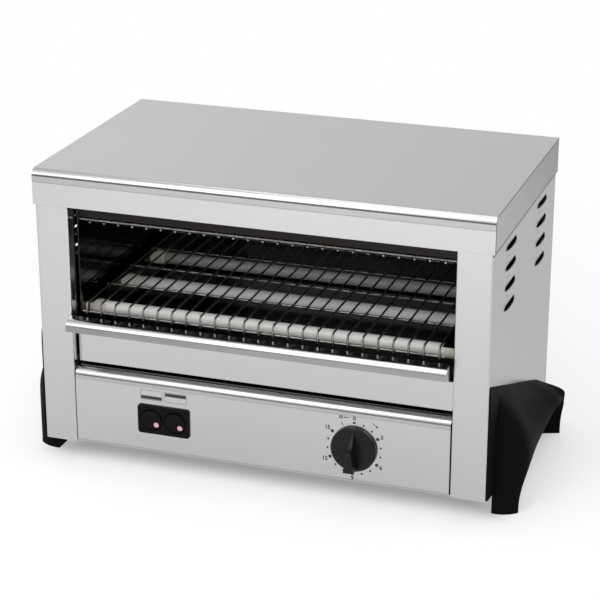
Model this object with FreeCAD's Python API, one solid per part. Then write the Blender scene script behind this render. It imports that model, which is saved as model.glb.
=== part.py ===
import FreeCAD, Part
import math
import os

# Counter-top toaster grill with six quartz tubes, in millimetres.
# Working frame: X to the right with 0 on the centre line, Y back from the front face, Z up from the counter.
# Every piece is shifted along Y at the end, so that the origin is under the middle of the whole part.

V = FreeCAD.Vector

# Body
BODY_WIDTH = 450.0
BODY_DEPTH = 263.0
BODY_HEIGHT = 280.0
SHEET = 1.0
LINER_SHEET = 0.8
CORNER_BEND = 3.0
SMALL_BEND = 1.6
FOOT_DROP = 25.0
FIT_GAP = 0.3
FLANGE = 13.0

# Lid
LID_SKIRT = 35.0
LID_FRONT_BEND = 7.0
LID_SEAM = 0.5

# Front columns and louvres
COLUMN_WIDTH = 34.0
COLUMN_RETURN = 15.0
LOUVRE_LENGTH = 44.0
LOUVRE_HEIGHT = 3.6
LOUVRE_PROUD = 3.0
LOUVRE_HOOD = 9.0
LOUVRE_SINK = 0.5
LOUVRE_PITCH = 19.8
LOUVRE_ROWS = 4
LOUVRE_DROP = 13.0
LOUVRE_FRONT_INSET = 70.0
LOUVRE_REAR_INSET = 63.0

# Control panel
PANEL_HEIGHT = 77.5
PANEL_BEND = 9.0
PANEL_SIDE_GAP = 0.9
PANEL_RETURN = 14.0
CONTROL_RISE = 34.0
KNOB_X = 97.0
SWITCH_X = -97.0

# Cooking chamber
CHAMBER_SIDE_GAP = 3.0
CHAMBER_REAR_GAP = 15.0
CHAMBER_HEAD_GAP = 9.0
REFLECTOR_DROP = 21.0
BAFFLE_RISE = 5.2
BAFFLE_HEM = 5.0
SHORT_FLANGE = 10.0

# Quartz tubes
TUBE_RADIUS = 6.3
TUBE_WALL = 1.2
TUBE_FIRST_Y = 43.0
TUBE_PITCH_Y = 76.0
TUBE_ROWS = ("front", "middle", "rear")
LOWER_TUBE_RISE = 50.5
UPPER_TUBE_DROP = 14.0
CAP_RADIUS = 7.6
CAP_LENGTH = 15.5
CAP_STUB_RADIUS = 4.5
CAP_STUB_LENGTH = 9.0
CAP_OVERLAP = 8.0
COIL_RADIUS = 3.4
TUBE_FIT = 0.05

# Cooking rack
RACK_RISE = 17.9
RACK_SIDE_GAP = 6.5
RACK_EDGE = 5.1
RACK_WIRE = 1.0
RACK_CROSS_WIRE = 1.25
RACK_WIRES = 25
RACK_REAR_GAP = 8.0
RACK_FRONT_BEND = 4.0
RACK_FRONT_Y = 4.2
RACK_FRONT_DROP = 11.1
RACK_FRONT_RISE = 1.5
RACK_CROSS_FIRST_Y = 65.0
RACK_CROSS_REAR_GAP = 7.0
RACK_CROSS_COUNT = 4
WELD_DEPTH = 0.25
RAIL_WIDTH = 12.0
RAIL_UPRIGHT = 10.0

# Upper guard
GUARD_DROP = 19.3
GUARD_FRONT = 18.0
GUARD_REAR_GAP = 10.0
GUARD_CROSS_COUNT = 5
GUARD_CROSS_FRONT = 20.0

# Crumb tray
TRAY_PLATE_Y = 10.0
TRAY_PLATE_GAP = 2.0
TRAY_RISE = 4.3
TRAY_PLATE_HEIGHT = 29.2
TRAY_FRONT_HEIGHT = 52.5
LIP_REACH = 20.0
LIP_DEPTH = 15.0
LIP_FLANGE = 11.2
LIP_NOSE = 7.0
LIP_LEAN = 1.8
TRAY_SIDE_HEIGHT = 18.0
TRAY_SIDE_GAP = 3.5
TRAY_REAR_GAP = 8.0
RUNNER_WIDTH = 9.0
RUNNER_UPRIGHT = 14.0
RUNNER_REAR_GAP = 2.0

# Switch
BEZEL_WIDTH = 54.0
BEZEL_HEIGHT = 30.0
BEZEL_THICKNESS = 2.4
BEZEL_CORNER = 3.0
BEZEL_CHAMFER = 0.7
SWITCH_CUT_MARGIN = 1.8
SWITCH_DEPTH = 26.0
ROCKER_RADIUS = 10.8
ROCKER_GAP = 0.7
ROCKER_INSET = 14.6
ROCKER_THICKNESS = 5.6
ROCKER_PROUD = 3.4
ROCKER_TILT = 8.0
ROCKER_PIN = 1.2
ROCKER_ROUND = 0.9
ROCKER_WELL = 9.0
DISH_RADIUS = 60.0
DISH_DEPTH = 0.6
PIN_FIT = 0.06
LENS_RADIUS = 2.8
LENS_LENGTH = 2.6
LENS_PROUD = 0.4
LENS_OFFSET_X = 5.1
LENS_OFFSET_Z = -4.4

# Timer and knob
KNOB_RADIUS = 22.5
KNOB_DISC = 4.2
KNOB_GAP = 0.7
KNOB_REACH = 20.0
KNOB_BEVEL = 1.6
GRIP_TOP = 19.0
GRIP_BOTTOM = -17.5
GRIP_HALF_WIDTH = 6.6
GRIP_CREST = 3.0
GRIP_LEAN = 1.6
GRIP_POINT = 0.6
GRIP_STEP = 0.4
GRIP_HOLLOW = 2.2
SHAFT_RADIUS = 3.0
SHAFT_FIT = 0.05
SHAFT_HOLE = 5.2
SHAFT_CAP = 5.0
SHAFT_INSIDE = 24.0
HUB_WALL = 2.5
TIMER_SIZE = 42.0
TIMER_DEPTH = 34.0
TIMER_CORNER = 3.0
TIMER_SCREW_SPACING = 28.0
TIMER_SCREW_HEAD = 3.2
TIMER_SCREW_HEAD_HEIGHT = 1.8
BLADE_XS = (-12.0, 0.0, 12.0)
BLADE_WIDTH = 6.0
BLADE_LENGTH = 8.0
BLADE_DROP = 12.0

# Feet: the plan of each leg at the counter is a wedge, and the flared wing runs between the legs
FOOT_FRONT_Y = 3.0
FOOT_CREASE_Y = 28.0
FOOT_MIDDLE_SHIFT = 1.0
FOOT_TOP_FRONT_Z = 141.0
FOOT_TOP_REAR_Z = 63.0
FOOT_TOP_REAR_INSET = 50.0
FOOT_RIM_Z = 54.0
FOOT_FLARE = 30.0
FOOT_SKIRT = 1.6
FOOT_END_Z = 34.0
CREASE_STAND = 3.5
RIDGE_LOW_Y = 44.0
RIDGE_HIGH_Y = 56.0
RIDGE_Z = 46.0
LEG_TAPER = 0.13
FLARE_POWER = 1.15
FOOT_EDGE = 8.0
FOOT_SPARE = 2.0
FOOT_SCREWS = ((62.0, 84.0), (172.0, 63.0))
ARCH_OUTER = ((35.0, -3.0), (36.0, 13.0), (43.5, 32.0), (56.0, 45.0), (75.0, 51.0), (100.0, 53.6))
ARCH_INNER = ((47.0, -3.0), (48.0, 13.0), (53.0, 32.0), (63.0, 43.0), (80.0, 50.0), (103.0, 53.2))
LEG_STATIONS = (0.0, 0.7, 2.2, 5.0, 9.0, 14.0, 20.0, 28.0, 45.0, 72.0)
REAR_LEG_STATIONS = (0.0, 0.7, 2.2, 5.0, 9.0, 14.0, 19.0)
SKIRT_STATION = 15.0
WING_STATION = 30.5
TAIL_STATION = 23.0
PROFILE_STEPS = (0.0, 0.012, 0.035, 0.08, 0.15, 0.24, 0.35, 0.47, 0.6, 0.73, 0.86, 1.0)

# Base and rear, with their vents and screws
BASE_VENT_COLUMNS = 5
BASE_VENT_ROWS = 3
BASE_VENT_PITCH_X = 60.0
BASE_VENT_PITCH_Y = 15.0
BASE_VENT_FIRST_Y = 60.0
BASE_VENT_LENGTH = 40.0
BASE_VENT_WIDTH = 4.0
BASE_SCREW_INSET = 40.0
BACK_VENT_COUNT = 8
BACK_VENT_FIRST_X = -136.0
BACK_VENT_PITCH = 34.0
BACK_VENT_RISE = 55.0
BACK_VENT_DROP = 65.0
BACK_VENT_LENGTH = 30.0
BACK_VENT_WIDTH = 4.0
BACK_SCREW_INSET = 20.0
LID_SCREW_INSET = 45.0
LID_SCREW_RISE = 12.0
GLAND_INSET = 75.0
GLAND_RISE = 27.0
GLAND_RADIUS = 10.0
GLAND_THREAD = 8.0
GLAND_RIM = 5.0
GLAND_NUT = 5.0
GLAND_REACH = 14.0
GLAND_BORE = 4.5
SCREW_HEAD = 3.6
SCREW_HEAD_HEIGHT = 2.2
SCREW_RADIUS = 2.0
SCREW_LENGTH = 7.0

# Tube terminals, leads and terminal block
TAIL_RADIUS = 1.2
TAIL_PROUD = 1.0
STRIP_THICKNESS = 0.8
STRIP_HALF_HEIGHT = 5.0
STRIP_MARGIN = 8.0
NUT_HEIGHT = 2.4
NUT_RADIUS = 2.9
LEAD_RADIUS = 1.5
LEAD_BEND = 8.0
LEAD_HOLE = 6.0
LEAD_PASS_Y = 150.0
LEAD_PASS_RISE = 43.0
LEAD_LINK_Y = 81.0
LEAD_RUN_Y = 62.0
LEAD_TURN_Y = 110.0
SWITCH_LEAD_DROP = 7.0
SWITCH_LEAD_X = 14.0
SWITCH_LEAD_RISE = 5.0
TIMER_LEAD_X = 8.0
TIMER_LEAD_RISE = 13.0
BLOCK_X = 118.0
BLOCK_REAR_GAP = 15.0
BLOCK_WIDTH = 40.0
BLOCK_DEPTH = 18.0
BLOCK_HEIGHT = 20.0
BLOCK_LEAD_HEIGHT = 9.0
BLOCK_POLES = (-12.0, 0.0, 12.0)
BLOCK_POLE_RADIUS = 2.6
BLOCK_POLE_DEPTH = 6.0

# Worked out from the sizes above
HALF_WIDTH = BODY_WIDTH / 2
ROCKER_SPACING = BEZEL_WIDTH - 2 * ROCKER_INSET
BODY_TOP = FOOT_DROP + BODY_HEIGHT
FLOOR_Z = FOOT_DROP + 2 * SHEET
SIDE_DEPTH = BODY_DEPTH - SHEET
LID_UNDERSIDE = BODY_TOP - SHEET
PANEL_UNDER_LID = LID_UNDERSIDE - FIT_GAP
OPENING_HALF = HALF_WIDTH - COLUMN_WIDTH
PANEL_TOP = FLOOR_Z + PANEL_HEIGHT
CONTROL_HEIGHT = FLOOR_Z + CONTROL_RISE
CHAMBER_HALF_WIDTH = OPENING_HALF - CHAMBER_SIDE_GAP
CHAMBER_FRONT = COLUMN_RETURN + SHEET
CHAMBER_REAR = BODY_DEPTH - CHAMBER_REAR_GAP
CHAMBER_TOP = BODY_TOP - CHAMBER_HEAD_GAP
REFLECTOR_Z = BODY_TOP - REFLECTOR_DROP
TUBE_YS = [TUBE_FIRST_Y + i * TUBE_PITCH_Y for i in range(len(TUBE_ROWS))]
LOWER_TUBE_Z = PANEL_TOP + LOWER_TUBE_RISE
UPPER_TUBE_Z = REFLECTOR_Z - UPPER_TUBE_DROP
RACK_PLANE = LOWER_TUBE_Z + RACK_RISE
RACK_HALF_WIDTH = CHAMBER_HALF_WIDTH - RACK_SIDE_GAP
RACK_PITCH = 2 * (RACK_HALF_WIDTH - RACK_EDGE) / (RACK_WIRES - 1)
RACK_REAR = CHAMBER_REAR - RACK_REAR_GAP
RACK_CROSS_SPAN = RACK_REAR - RACK_CROSS_REAR_GAP - RACK_CROSS_FIRST_Y
RACK_TIP_Z = RACK_PLANE - RACK_FRONT_DROP
GUARD_PLANE = UPPER_TUBE_Z - GUARD_DROP
GUARD_REAR = CHAMBER_REAR - GUARD_REAR_GAP
BAFFLE_Y = CHAMBER_FRONT + SHEET
BAFFLE_BOTTOM = GUARD_PLANE + BAFFLE_RISE
TRAY_PLATE_HALF_WIDTH = OPENING_HALF - TRAY_PLATE_GAP
TRAY_BOTTOM = PANEL_TOP + TRAY_RISE
TRAY_PLATE_BEND_Z = TRAY_BOTTOM + TRAY_PLATE_HEIGHT
TRAY_REAR = CHAMBER_REAR - TRAY_REAR_GAP
LIP_TOP = TRAY_BOTTOM + TRAY_FRONT_HEIGHT
FOOT_MIDDLE_Y = BODY_DEPTH / 2 + FOOT_MIDDLE_SHIFT
FOOT_TOP_REAR_Y = BODY_DEPTH - FOOT_TOP_REAR_INSET
GLAND_X = HALF_WIDTH - GLAND_INSET
GLAND_Z = FOOT_DROP + GLAND_RISE
LEAD_PASS_Z = FLOOR_Z + LEAD_PASS_RISE
BLOCK_Y = CHAMBER_REAR - BLOCK_REAR_GAP - BLOCK_DEPTH
STUB_END = CHAMBER_HALF_WIDTH + LINER_SHEET + CAP_STUB_LENGTH
TAIL_END = STUB_END + STRIP_THICKNESS + NUT_HEIGHT + TAIL_PROUD
FRONT_REACH = max(LIP_REACH, KNOB_REACH)
REAR_REACH = BODY_DEPTH + GLAND_REACH
Y_SHIFT = -(REAR_REACH - FRONT_REACH) / 2


def box(x0, x1, y0, y1, z0, z1):
    return Part.makeBox(x1 - x0, y1 - y0, z1 - z0, V(x0, y0, z0))


def cylinder(start, direction, radius, length):
    return Part.makeCylinder(radius, length, start, direction)


def fuse(shapes):
    whole = shapes[0].multiFuse(shapes[1:])
    return whole.removeSplitter()


def cut(shape, tools):
    return shape.cut(tools)


def mirrored(shape):
    """The same piece on the left side."""
    return shape.mirror(V(0, 0, 0), V(1, 0, 0))


def prism_x(outline, x0, x1):
    """Prism along X over a closed outline of (y, z) points."""
    corners = [V(x0, y, z) for y, z in outline]
    face = Part.Face(Part.makePolygon(corners + corners[:1]))
    return face.extrude(V(x1 - x0, 0, 0))


def slot_x(x0, x1, y, z, length, height):
    """Round-ended slot whose length runs along Y, cut through along X."""
    reach = (length - height) / 2
    ends = [cylinder(V(x0, y + s * reach, z), V(1, 0, 0), height / 2, x1 - x0) for s in (-1, 1)]
    middle = box(x0, x1, y - reach, y + reach, z - height / 2, z + height / 2)
    return fuse([middle] + ends)


def slot_z(x, y, z0, z1, length, width):
    """Round-ended slot whose length runs along X, cut through along Z."""
    reach = (length - width) / 2
    ends = [cylinder(V(x + s * reach, y, z0), V(0, 0, 1), width / 2, z1 - z0) for s in (-1, 1)]
    middle = box(x - reach, x + reach, y - width / 2, y + width / 2, z0, z1)
    return fuse([middle] + ends)


def edges_at(shape, x=None, y=None, z=None):
    """Straight edges whose middle lies on all the coordinates given."""
    found = []
    for edge in shape.Edges:
        middle = edge.CenterOfMass
        wanted = ((x, middle.x), (y, middle.y), (z, middle.z))
        if all(w is None or abs(w - m) < 1e-4 for w, m in wanted):
            found.append(edge)
    return found


def rounded(shape, radius, **place):
    return shape.makeFillet(radius, edges_at(shape, **place))


def sheet_outline(line, thickness):
    """Closed outline of a folded sheet that lies to the left of an open line of (y, z) points."""
    other = []
    for i, (y, z) in enumerate(line):
        before = line[max(i - 1, 0)]
        after = line[min(i + 1, len(line) - 1)]
        a1 = math.atan2(z - before[1], y - before[0]) if i else None
        a2 = math.atan2(after[1] - z, after[0] - y) if i < len(line) - 1 else None
        a1 = a2 if a1 is None else a1
        a2 = a1 if a2 is None else a2
        half = (a2 - a1 + math.pi) % (2 * math.pi) - math.pi
        middle = a1 + half / 2 + math.pi / 2
        reach = thickness / math.cos(half / 2)
        other.append((y + reach * math.cos(middle), z + reach * math.sin(middle)))
    return list(line) + other[::-1]


def screw(seat, direction, length=SCREW_LENGTH, head=SCREW_HEAD, head_height=SCREW_HEAD_HEIGHT,
          radius=SCREW_RADIUS):
    """Pan-head screw with a cross recess: seat is under the head, direction points into the work."""
    top = seat - direction * head_height
    head_solid = cylinder(top, direction, head, head_height)
    rim = [e for e in head_solid.Edges if abs((e.CenterOfMass - top).Length) < 1e-6 and e.Closed]
    head_solid = head_solid.makeFillet(head_height * 0.4, rim)
    solid = fuse([head_solid, cylinder(seat, direction, radius, length)])
    along = V(0, 0, 1) if abs(direction.z) < 0.5 else V(0, 1, 0)
    across = direction.cross(along)
    arms = []
    for u, w in ((along, across), (across, along)):
        corner = top - direction - u * head * 0.5 - w * head * 0.1
        points = [corner, corner + u * head, corner + u * head + w * head * 0.2, corner + w * head * 0.2]
        arm = Part.Face(Part.makePolygon(points + points[:1])).extrude(direction * (1 + head_height * 0.5))
        arms.append(arm)
    return cut(solid, arms)


def rounded_path(points, radius):
    """Straight runs between the points, joined by tangent arcs."""
    edges = []
    start = points[0]
    for before, corner, after in zip(points, points[1:], points[2:]):
        inward = (before - corner).normalize()
        outward = (after - corner).normalize()
        turn = math.pi - inward.getAngle(outward)
        back = radius * math.tan(turn / 2)
        first = corner + inward * back
        last = corner + outward * back
        bisector = (inward + outward).normalize()
        centre = corner + bisector * (radius / math.cos(turn / 2))
        middle = centre - bisector * radius
        edges.append(Part.LineSegment(start, first).toShape())
        edges.append(Part.Arc(first, middle, last).toShape())
        start = last
    edges.append(Part.LineSegment(start, points[-1]).toShape())
    return Part.Wire(edges)


def wire_rod(points, bend, radius):
    """Round wire or lead along a bent path."""
    path = rounded_path(points, bend)
    first = (points[1] - points[0]).normalize()
    section = Part.Wire([Part.makeCircle(radius, points[0], first)])
    return path.makePipeShell([section], True, False)


def lid():
    gap = FIT_GAP + SHEET
    outer = box(-HALF_WIDTH - gap, HALF_WIDTH + gap, -gap, BODY_DEPTH + gap, BODY_TOP - LID_SKIRT, BODY_TOP)
    inner = box(-HALF_WIDTH - FIT_GAP, HALF_WIDTH + FIT_GAP, -FIT_GAP, BODY_DEPTH + FIT_GAP,
                BODY_TOP - LID_SKIRT - SHEET, LID_UNDERSIDE)
    outer = rounded(outer, LID_FRONT_BEND, y=-gap, z=BODY_TOP)
    inner = rounded(inner, LID_FRONT_BEND - SHEET, y=-FIT_GAP, z=LID_UNDERSIDE)
    shell = cut(outer, [inner])
    low = BODY_TOP - LID_SKIRT - SHEET
    high = BODY_TOP - LID_FRONT_BEND - SHEET
    seams = [box(s * (HALF_WIDTH + FIT_GAP) - 2 * SHEET, s * (HALF_WIDTH + FIT_GAP) + 2 * SHEET,
                 -FIT_GAP, -FIT_GAP + LID_SEAM, low, high) for s in (-1, 1)]
    holes = [cylinder(V(x, BODY_DEPTH, z), V(0, 1, 0), SCREW_RADIUS + FIT_GAP, 2 * gap)
             for x, z in lid_screw_places()]
    return cut(shell, seams + holes)


def lid_screw_places():
    x = HALF_WIDTH - LID_SCREW_INSET
    return [(s * x, BODY_TOP - LID_SKIRT + LID_SCREW_RISE) for s in (-1, 0, 1)]


def louvre_places():
    top = BODY_TOP - LID_SKIRT - LOUVRE_DROP
    ys = (LOUVRE_FRONT_INSET, BODY_DEPTH - LOUVRE_REAR_INSET)
    return [(y, top - i * LOUVRE_PITCH) for y in ys for i in range(LOUVRE_ROWS)]


def side_panel():
    """Right side panel, folded round the front as a column, with a rear and a bottom flange."""
    x0 = OPENING_HALF
    x1 = HALF_WIDTH
    outer = box(x0, x1, 0, SIDE_DEPTH, FOOT_DROP, PANEL_UNDER_LID)
    outer = rounded(outer, CORNER_BEND, x=x1, y=0)
    outer = rounded(outer, SMALL_BEND, x=x0, y=0)
    outer = rounded(outer, SMALL_BEND, x=x1, y=SIDE_DEPTH)
    inner = box(x0 + SHEET, x1 - SHEET, SHEET, SIDE_DEPTH - SHEET, 0, BODY_TOP)
    inner = rounded(inner, CORNER_BEND - SHEET, x=x1 - SHEET, y=SHEET)
    inner = rounded(inner, SMALL_BEND - SHEET, x=x0 + SHEET, y=SHEET)
    inner = rounded(inner, SMALL_BEND - SHEET, x=x1 - SHEET, y=SIDE_DEPTH - SHEET)
    open_side = box(x0 - SHEET, x1 - FLANGE, COLUMN_RETURN, BODY_DEPTH, 0, BODY_TOP)
    shell = cut(outer, [inner, open_side])
    flange = box(x1 - FLANGE, x1 - SHEET / 2, COLUMN_RETURN, SIDE_DEPTH - SHEET / 2,
                 FOOT_DROP, FOOT_DROP + SHEET)
    hoods = [louvre_hood(y, z, 0) for y, z in louvre_places()]
    mouths = [louvre_hood(y, z, SHEET) for y, z in louvre_places()]
    slots = [louvre_slot(y, z) for y, z in louvre_places()]
    holes = [cylinder(V(x1 - 2 * SHEET, y, z), V(1, 0, 0), SCREW_RADIUS + FIT_GAP, 3 * SHEET)
             for y, z in FOOT_SCREWS]
    holes += [cylinder(V(x, y, FOOT_DROP - SHEET), V(0, 0, 1), SCREW_RADIUS + FIT_GAP, 3 * SHEET)
              for x, y in base_screw_places() if x > 0]
    holes += [cylinder(V(x, SIDE_DEPTH - 2 * SHEET, z), V(0, 1, 0), SCREW_RADIUS + TUBE_FIT, 4 * SHEET)
              for x, z in back_screw_places() if x > 0]
    under_bend = box(x0 - SHEET, x1 + SHEET, -SHEET, LID_FRONT_BEND, BODY_TOP - LID_FRONT_BEND, BODY_TOP)
    return cut(cut(fuse([shell, flange] + hoods), mouths + slots), holes + [under_bend])


def louvre_hood(y, z, wall):
    """Bulge pressed out of the sheet below one louvre slot, smaller by wall on every side."""
    reach = HALF_WIDTH - SHEET
    stretch = FreeCAD.Matrix()
    stretch.scale(LOUVRE_PROUD + SHEET - wall, LOUVRE_LENGTH / 2 - wall, LOUVRE_HOOD - wall)
    bulge = Part.makeSphere(1.0, V(0, 0, 0), V(1, 0, 0), -90, 90, 360).transformGeometry(stretch)
    bulge.translate(V(reach, y, z - LOUVRE_SINK))
    # The bulge itself starts inside the sheet, and its hollow starts behind the sheet
    root = reach + SHEET / 2 - 2 * wall
    span = LOUVRE_LENGTH
    return bulge.common(box(root, reach + span, y - span, y + span, z - span, z))


def louvre_slot(y, z):
    """Opening in the sheet above one louvre hood, flat at the bottom and rounded at its upper corners."""
    x0 = HALF_WIDTH - 2 * SHEET
    x1 = HALF_WIDTH + SHEET
    span = LOUVRE_LENGTH - 4 * SHEET
    whole = slot_x(x0, x1, y, z, span, 2 * LOUVRE_HEIGHT)
    return whole.common(box(x0, x1, y - span, y + span, z, z + span))


def base_screw_places():
    x = HALF_WIDTH - FLANGE / 2 - SHEET
    ys = (BASE_SCREW_INSET, BODY_DEPTH / 2, BODY_DEPTH - BASE_SCREW_INSET)
    return [(s * x, y) for s in (-1, 1) for y in ys]


def back_screw_places():
    x = HALF_WIDTH - FLANGE / 2 - SHEET
    low = FOOT_DROP + BACK_SCREW_INSET
    high = BODY_TOP - LID_SKIRT - BACK_SCREW_INSET
    return [(s * x, z) for s in (-1, 1) for z in (low, (low + high) / 2, high)]


def base_plate():
    z0 = FOOT_DROP + SHEET
    wide = HALF_WIDTH - SHEET - FIT_GAP
    narrow = OPENING_HALF - FIT_GAP
    front_edge = COLUMN_RETURN + SHEET
    plate = fuse([box(-wide, wide, front_edge, SIDE_DEPTH - SHEET - FIT_GAP, z0, z0 + SHEET),
                  box(-narrow, narrow, SHEET + FIT_GAP, front_edge, z0, z0 + SHEET)])
    first_x = -BASE_VENT_PITCH_X * (BASE_VENT_COLUMNS - 1) / 2
    vents = [slot_z(first_x + i * BASE_VENT_PITCH_X, BASE_VENT_FIRST_Y + k * BASE_VENT_PITCH_Y,
                    z0 - SHEET, z0 + 2 * SHEET, BASE_VENT_LENGTH, BASE_VENT_WIDTH)
             for i in range(BASE_VENT_COLUMNS) for k in range(BASE_VENT_ROWS)]
    holes = [cylinder(V(x, y, z0 - SHEET), V(0, 0, 1), SCREW_RADIUS + TUBE_FIT, 3 * SHEET)
             for x, y in base_screw_places()]
    return cut(plate, vents + holes)


def back_panel():
    half = HALF_WIDTH - FIT_GAP
    panel = box(-half, half, SIDE_DEPTH, BODY_DEPTH, FOOT_DROP, PANEL_UNDER_LID)
    flange_half = HALF_WIDTH - FLANGE - FIT_GAP
    flange = box(-flange_half, flange_half, SIDE_DEPTH - FLANGE, BODY_DEPTH - SHEET / 2,
                 FOOT_DROP, FOOT_DROP + SHEET)
    panel = fuse([panel, flange])
    wide = BACK_VENT_WIDTH / 2
    tall = BACK_VENT_LENGTH / 2
    xs = [BACK_VENT_FIRST_X + i * BACK_VENT_PITCH for i in range(BACK_VENT_COUNT)]
    vents = [box(x - wide, x + wide, SIDE_DEPTH - SHEET, BODY_DEPTH + SHEET, z - tall, z + tall)
             for z in (FOOT_DROP + BACK_VENT_RISE, BODY_TOP - BACK_VENT_DROP) for x in xs]
    holes = [cylinder(V(x, SIDE_DEPTH - SHEET, z), V(0, 1, 0), SCREW_RADIUS + FIT_GAP, 3 * SHEET)
             for x, z in back_screw_places()]
    holes += [cylinder(V(x, SIDE_DEPTH - SHEET, z), V(0, 1, 0), SCREW_RADIUS + TUBE_FIT, 3 * SHEET)
              for x, z in lid_screw_places()]
    holes.append(cylinder(V(GLAND_X, SIDE_DEPTH - SHEET, GLAND_Z), V(0, 1, 0), GLAND_THREAD, 3 * SHEET))
    return cut(panel, vents + holes)


def switch_cutout(clearance, y0, y1):
    half_x = BEZEL_WIDTH / 2 - SWITCH_CUT_MARGIN + clearance
    half_z = BEZEL_HEIGHT / 2 - SWITCH_CUT_MARGIN + clearance
    return box(SWITCH_X - half_x, SWITCH_X + half_x, y0, y1, CONTROL_HEIGHT - half_z, CONTROL_HEIGHT + half_z)


def timer_screw_places():
    return [V(KNOB_X, 0, CONTROL_HEIGHT + s * TIMER_SCREW_SPACING / 2) for s in (-1, 1)]


def control_panel():
    half = OPENING_HALF - PANEL_SIDE_GAP
    z0 = FLOOR_Z
    outer = box(-half, half, 0, PANEL_RETURN, z0, PANEL_TOP)
    outer = rounded(outer, PANEL_BEND, y=0, z=PANEL_TOP)
    outer = rounded(outer, SMALL_BEND, y=0, z=z0)
    inner = box(-half - 1, half + 1, SHEET, PANEL_RETURN + 1, z0 + SHEET, PANEL_TOP - SHEET)
    inner = rounded(inner, PANEL_BEND - SHEET, y=SHEET, z=PANEL_TOP - SHEET)
    inner = rounded(inner, SMALL_BEND - SHEET, y=SHEET, z=z0 + SHEET)
    holes = [switch_cutout(FIT_GAP, -SHEET, 2 * SHEET),
             cylinder(V(KNOB_X, -SHEET, CONTROL_HEIGHT), V(0, 1, 0), SHAFT_HOLE, 3 * SHEET)]
    holes += [cylinder(p - V(0, SHEET, 0), V(0, 1, 0), SCREW_RADIUS + TUBE_FIT, 3 * SHEET)
              for p in timer_screw_places()]
    return cut(outer, [inner] + holes)


def chamber_wall():
    """Right wall of the cooking space, with its foot and head flanges turned outwards."""
    x0 = CHAMBER_HALF_WIDTH
    x1 = x0 + LINER_SHEET
    z0 = FLOOR_Z
    z1 = CHAMBER_TOP
    wall = box(x0, x1, CHAMBER_FRONT, CHAMBER_REAR, z0, z1)
    foot = box(x0, x1 + FLANGE, CHAMBER_FRONT + SHEET, CHAMBER_REAR, z0, z0 + LINER_SHEET)
    head = box(x0, x1 + FLANGE, CHAMBER_FRONT + SHEET, CHAMBER_REAR, z1 - LINER_SHEET, z1)
    holes = []
    for z in (LOWER_TUBE_Z, UPPER_TUBE_Z):
        for y in TUBE_YS:
            holes.append(cylinder(V(x0 - 1, y, z), V(1, 0, 0), CAP_STUB_RADIUS + 2 * TUBE_FIT, 3))
    for y in guard_cross_places():
        centre = V(x0 - 1, y, guard_cross_height())
        holes.append(cylinder(centre, V(1, 0, 0), RACK_CROSS_WIRE + 2 * TUBE_FIT, 3))
    holes.append(cylinder(V(x0 - 1, LEAD_PASS_Y, LEAD_PASS_Z), V(1, 0, 0), LEAD_HOLE, 3))
    return cut(fuse([wall, foot, head]), holes)


def chamber_back():
    half = CHAMBER_HALF_WIDTH + LINER_SHEET + FLANGE
    z0 = FLOOR_Z
    plate = box(-half, half, CHAMBER_REAR, CHAMBER_REAR + LINER_SHEET, z0, CHAMBER_TOP)
    flange = box(-half, half, CHAMBER_REAR, CHAMBER_REAR + SHORT_FLANGE, z0, z0 + LINER_SHEET)
    passage = cylinder(V(GLAND_X, CHAMBER_REAR - 1, GLAND_Z), V(0, 1, 0), GLAND_RADIUS, 3)
    return cut(fuse([plate, flange]), [passage])


def heat_shield():
    half = CHAMBER_HALF_WIDTH - 2 * TUBE_FIT
    z0 = PANEL_TOP
    top = box(-half, half, TRAY_PLATE_Y, CHAMBER_REAR - FIT_GAP, z0, z0 + LINER_SHEET)
    side = box(half - LINER_SHEET, half, CHAMBER_FRONT + SHEET, CHAMBER_REAR - FIT_GAP,
               z0 - FLANGE, z0 + LINER_SHEET)
    return fuse([top, side, mirrored(side)])


def top_reflector():
    half = CHAMBER_HALF_WIDTH - 2 * TUBE_FIT
    y0 = BAFFLE_Y + LINER_SHEET + FIT_GAP
    top = box(-half, half, y0, CHAMBER_REAR - FIT_GAP, REFLECTOR_Z, REFLECTOR_Z + LINER_SHEET)
    side = box(half - LINER_SHEET, half, y0, CHAMBER_REAR - FIT_GAP, REFLECTOR_Z, REFLECTOR_Z + SHORT_FLANGE)
    return fuse([top, side, mirrored(side)])


def front_baffle():
    half = CHAMBER_HALF_WIDTH - 2 * TUBE_FIT
    top = CHAMBER_TOP
    sheet = box(-half, half, BAFFLE_Y, BAFFLE_Y + LINER_SHEET, BAFFLE_BOTTOM, top)
    shelf = box(-half, half, BAFFLE_Y - SHORT_FLANGE, BAFFLE_Y + LINER_SHEET, top - LINER_SHEET, top)
    hem = box(-half, half, BAFFLE_Y, BAFFLE_Y + 2 * LINER_SHEET, BAFFLE_BOTTOM, BAFFLE_BOTTOM + BAFFLE_HEM)
    return fuse([sheet, shelf, hem])


def depth_wire_xs():
    return [(i - (RACK_WIRES - 1) / 2) * RACK_PITCH for i in range(RACK_WIRES)]


def guard_cross_places():
    span = GUARD_REAR - GUARD_CROSS_FRONT - 4 * RACK_CROSS_WIRE
    return [GUARD_CROSS_FRONT + i * span / (GUARD_CROSS_COUNT - 1) for i in range(GUARD_CROSS_COUNT)]


def guard_cross_height():
    return GUARD_PLANE + RACK_WIRE + RACK_CROSS_WIRE - WELD_DEPTH


def upper_guard():
    """Welded wire guard under the upper tubes: its cross wires end in holes of the chamber walls."""
    reach = CHAMBER_HALF_WIDTH + 2 * LINER_SHEET
    rods = [cylinder(V(-reach, y, guard_cross_height()), V(1, 0, 0), RACK_CROSS_WIRE, 2 * reach)
            for y in guard_cross_places()]
    rods += [cylinder(V(x, GUARD_FRONT, GUARD_PLANE), V(0, 1, 0), RACK_WIRE, GUARD_REAR - GUARD_FRONT)
             for x in depth_wire_xs()]
    return rods[0].multiFuse(rods[1:])


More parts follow.
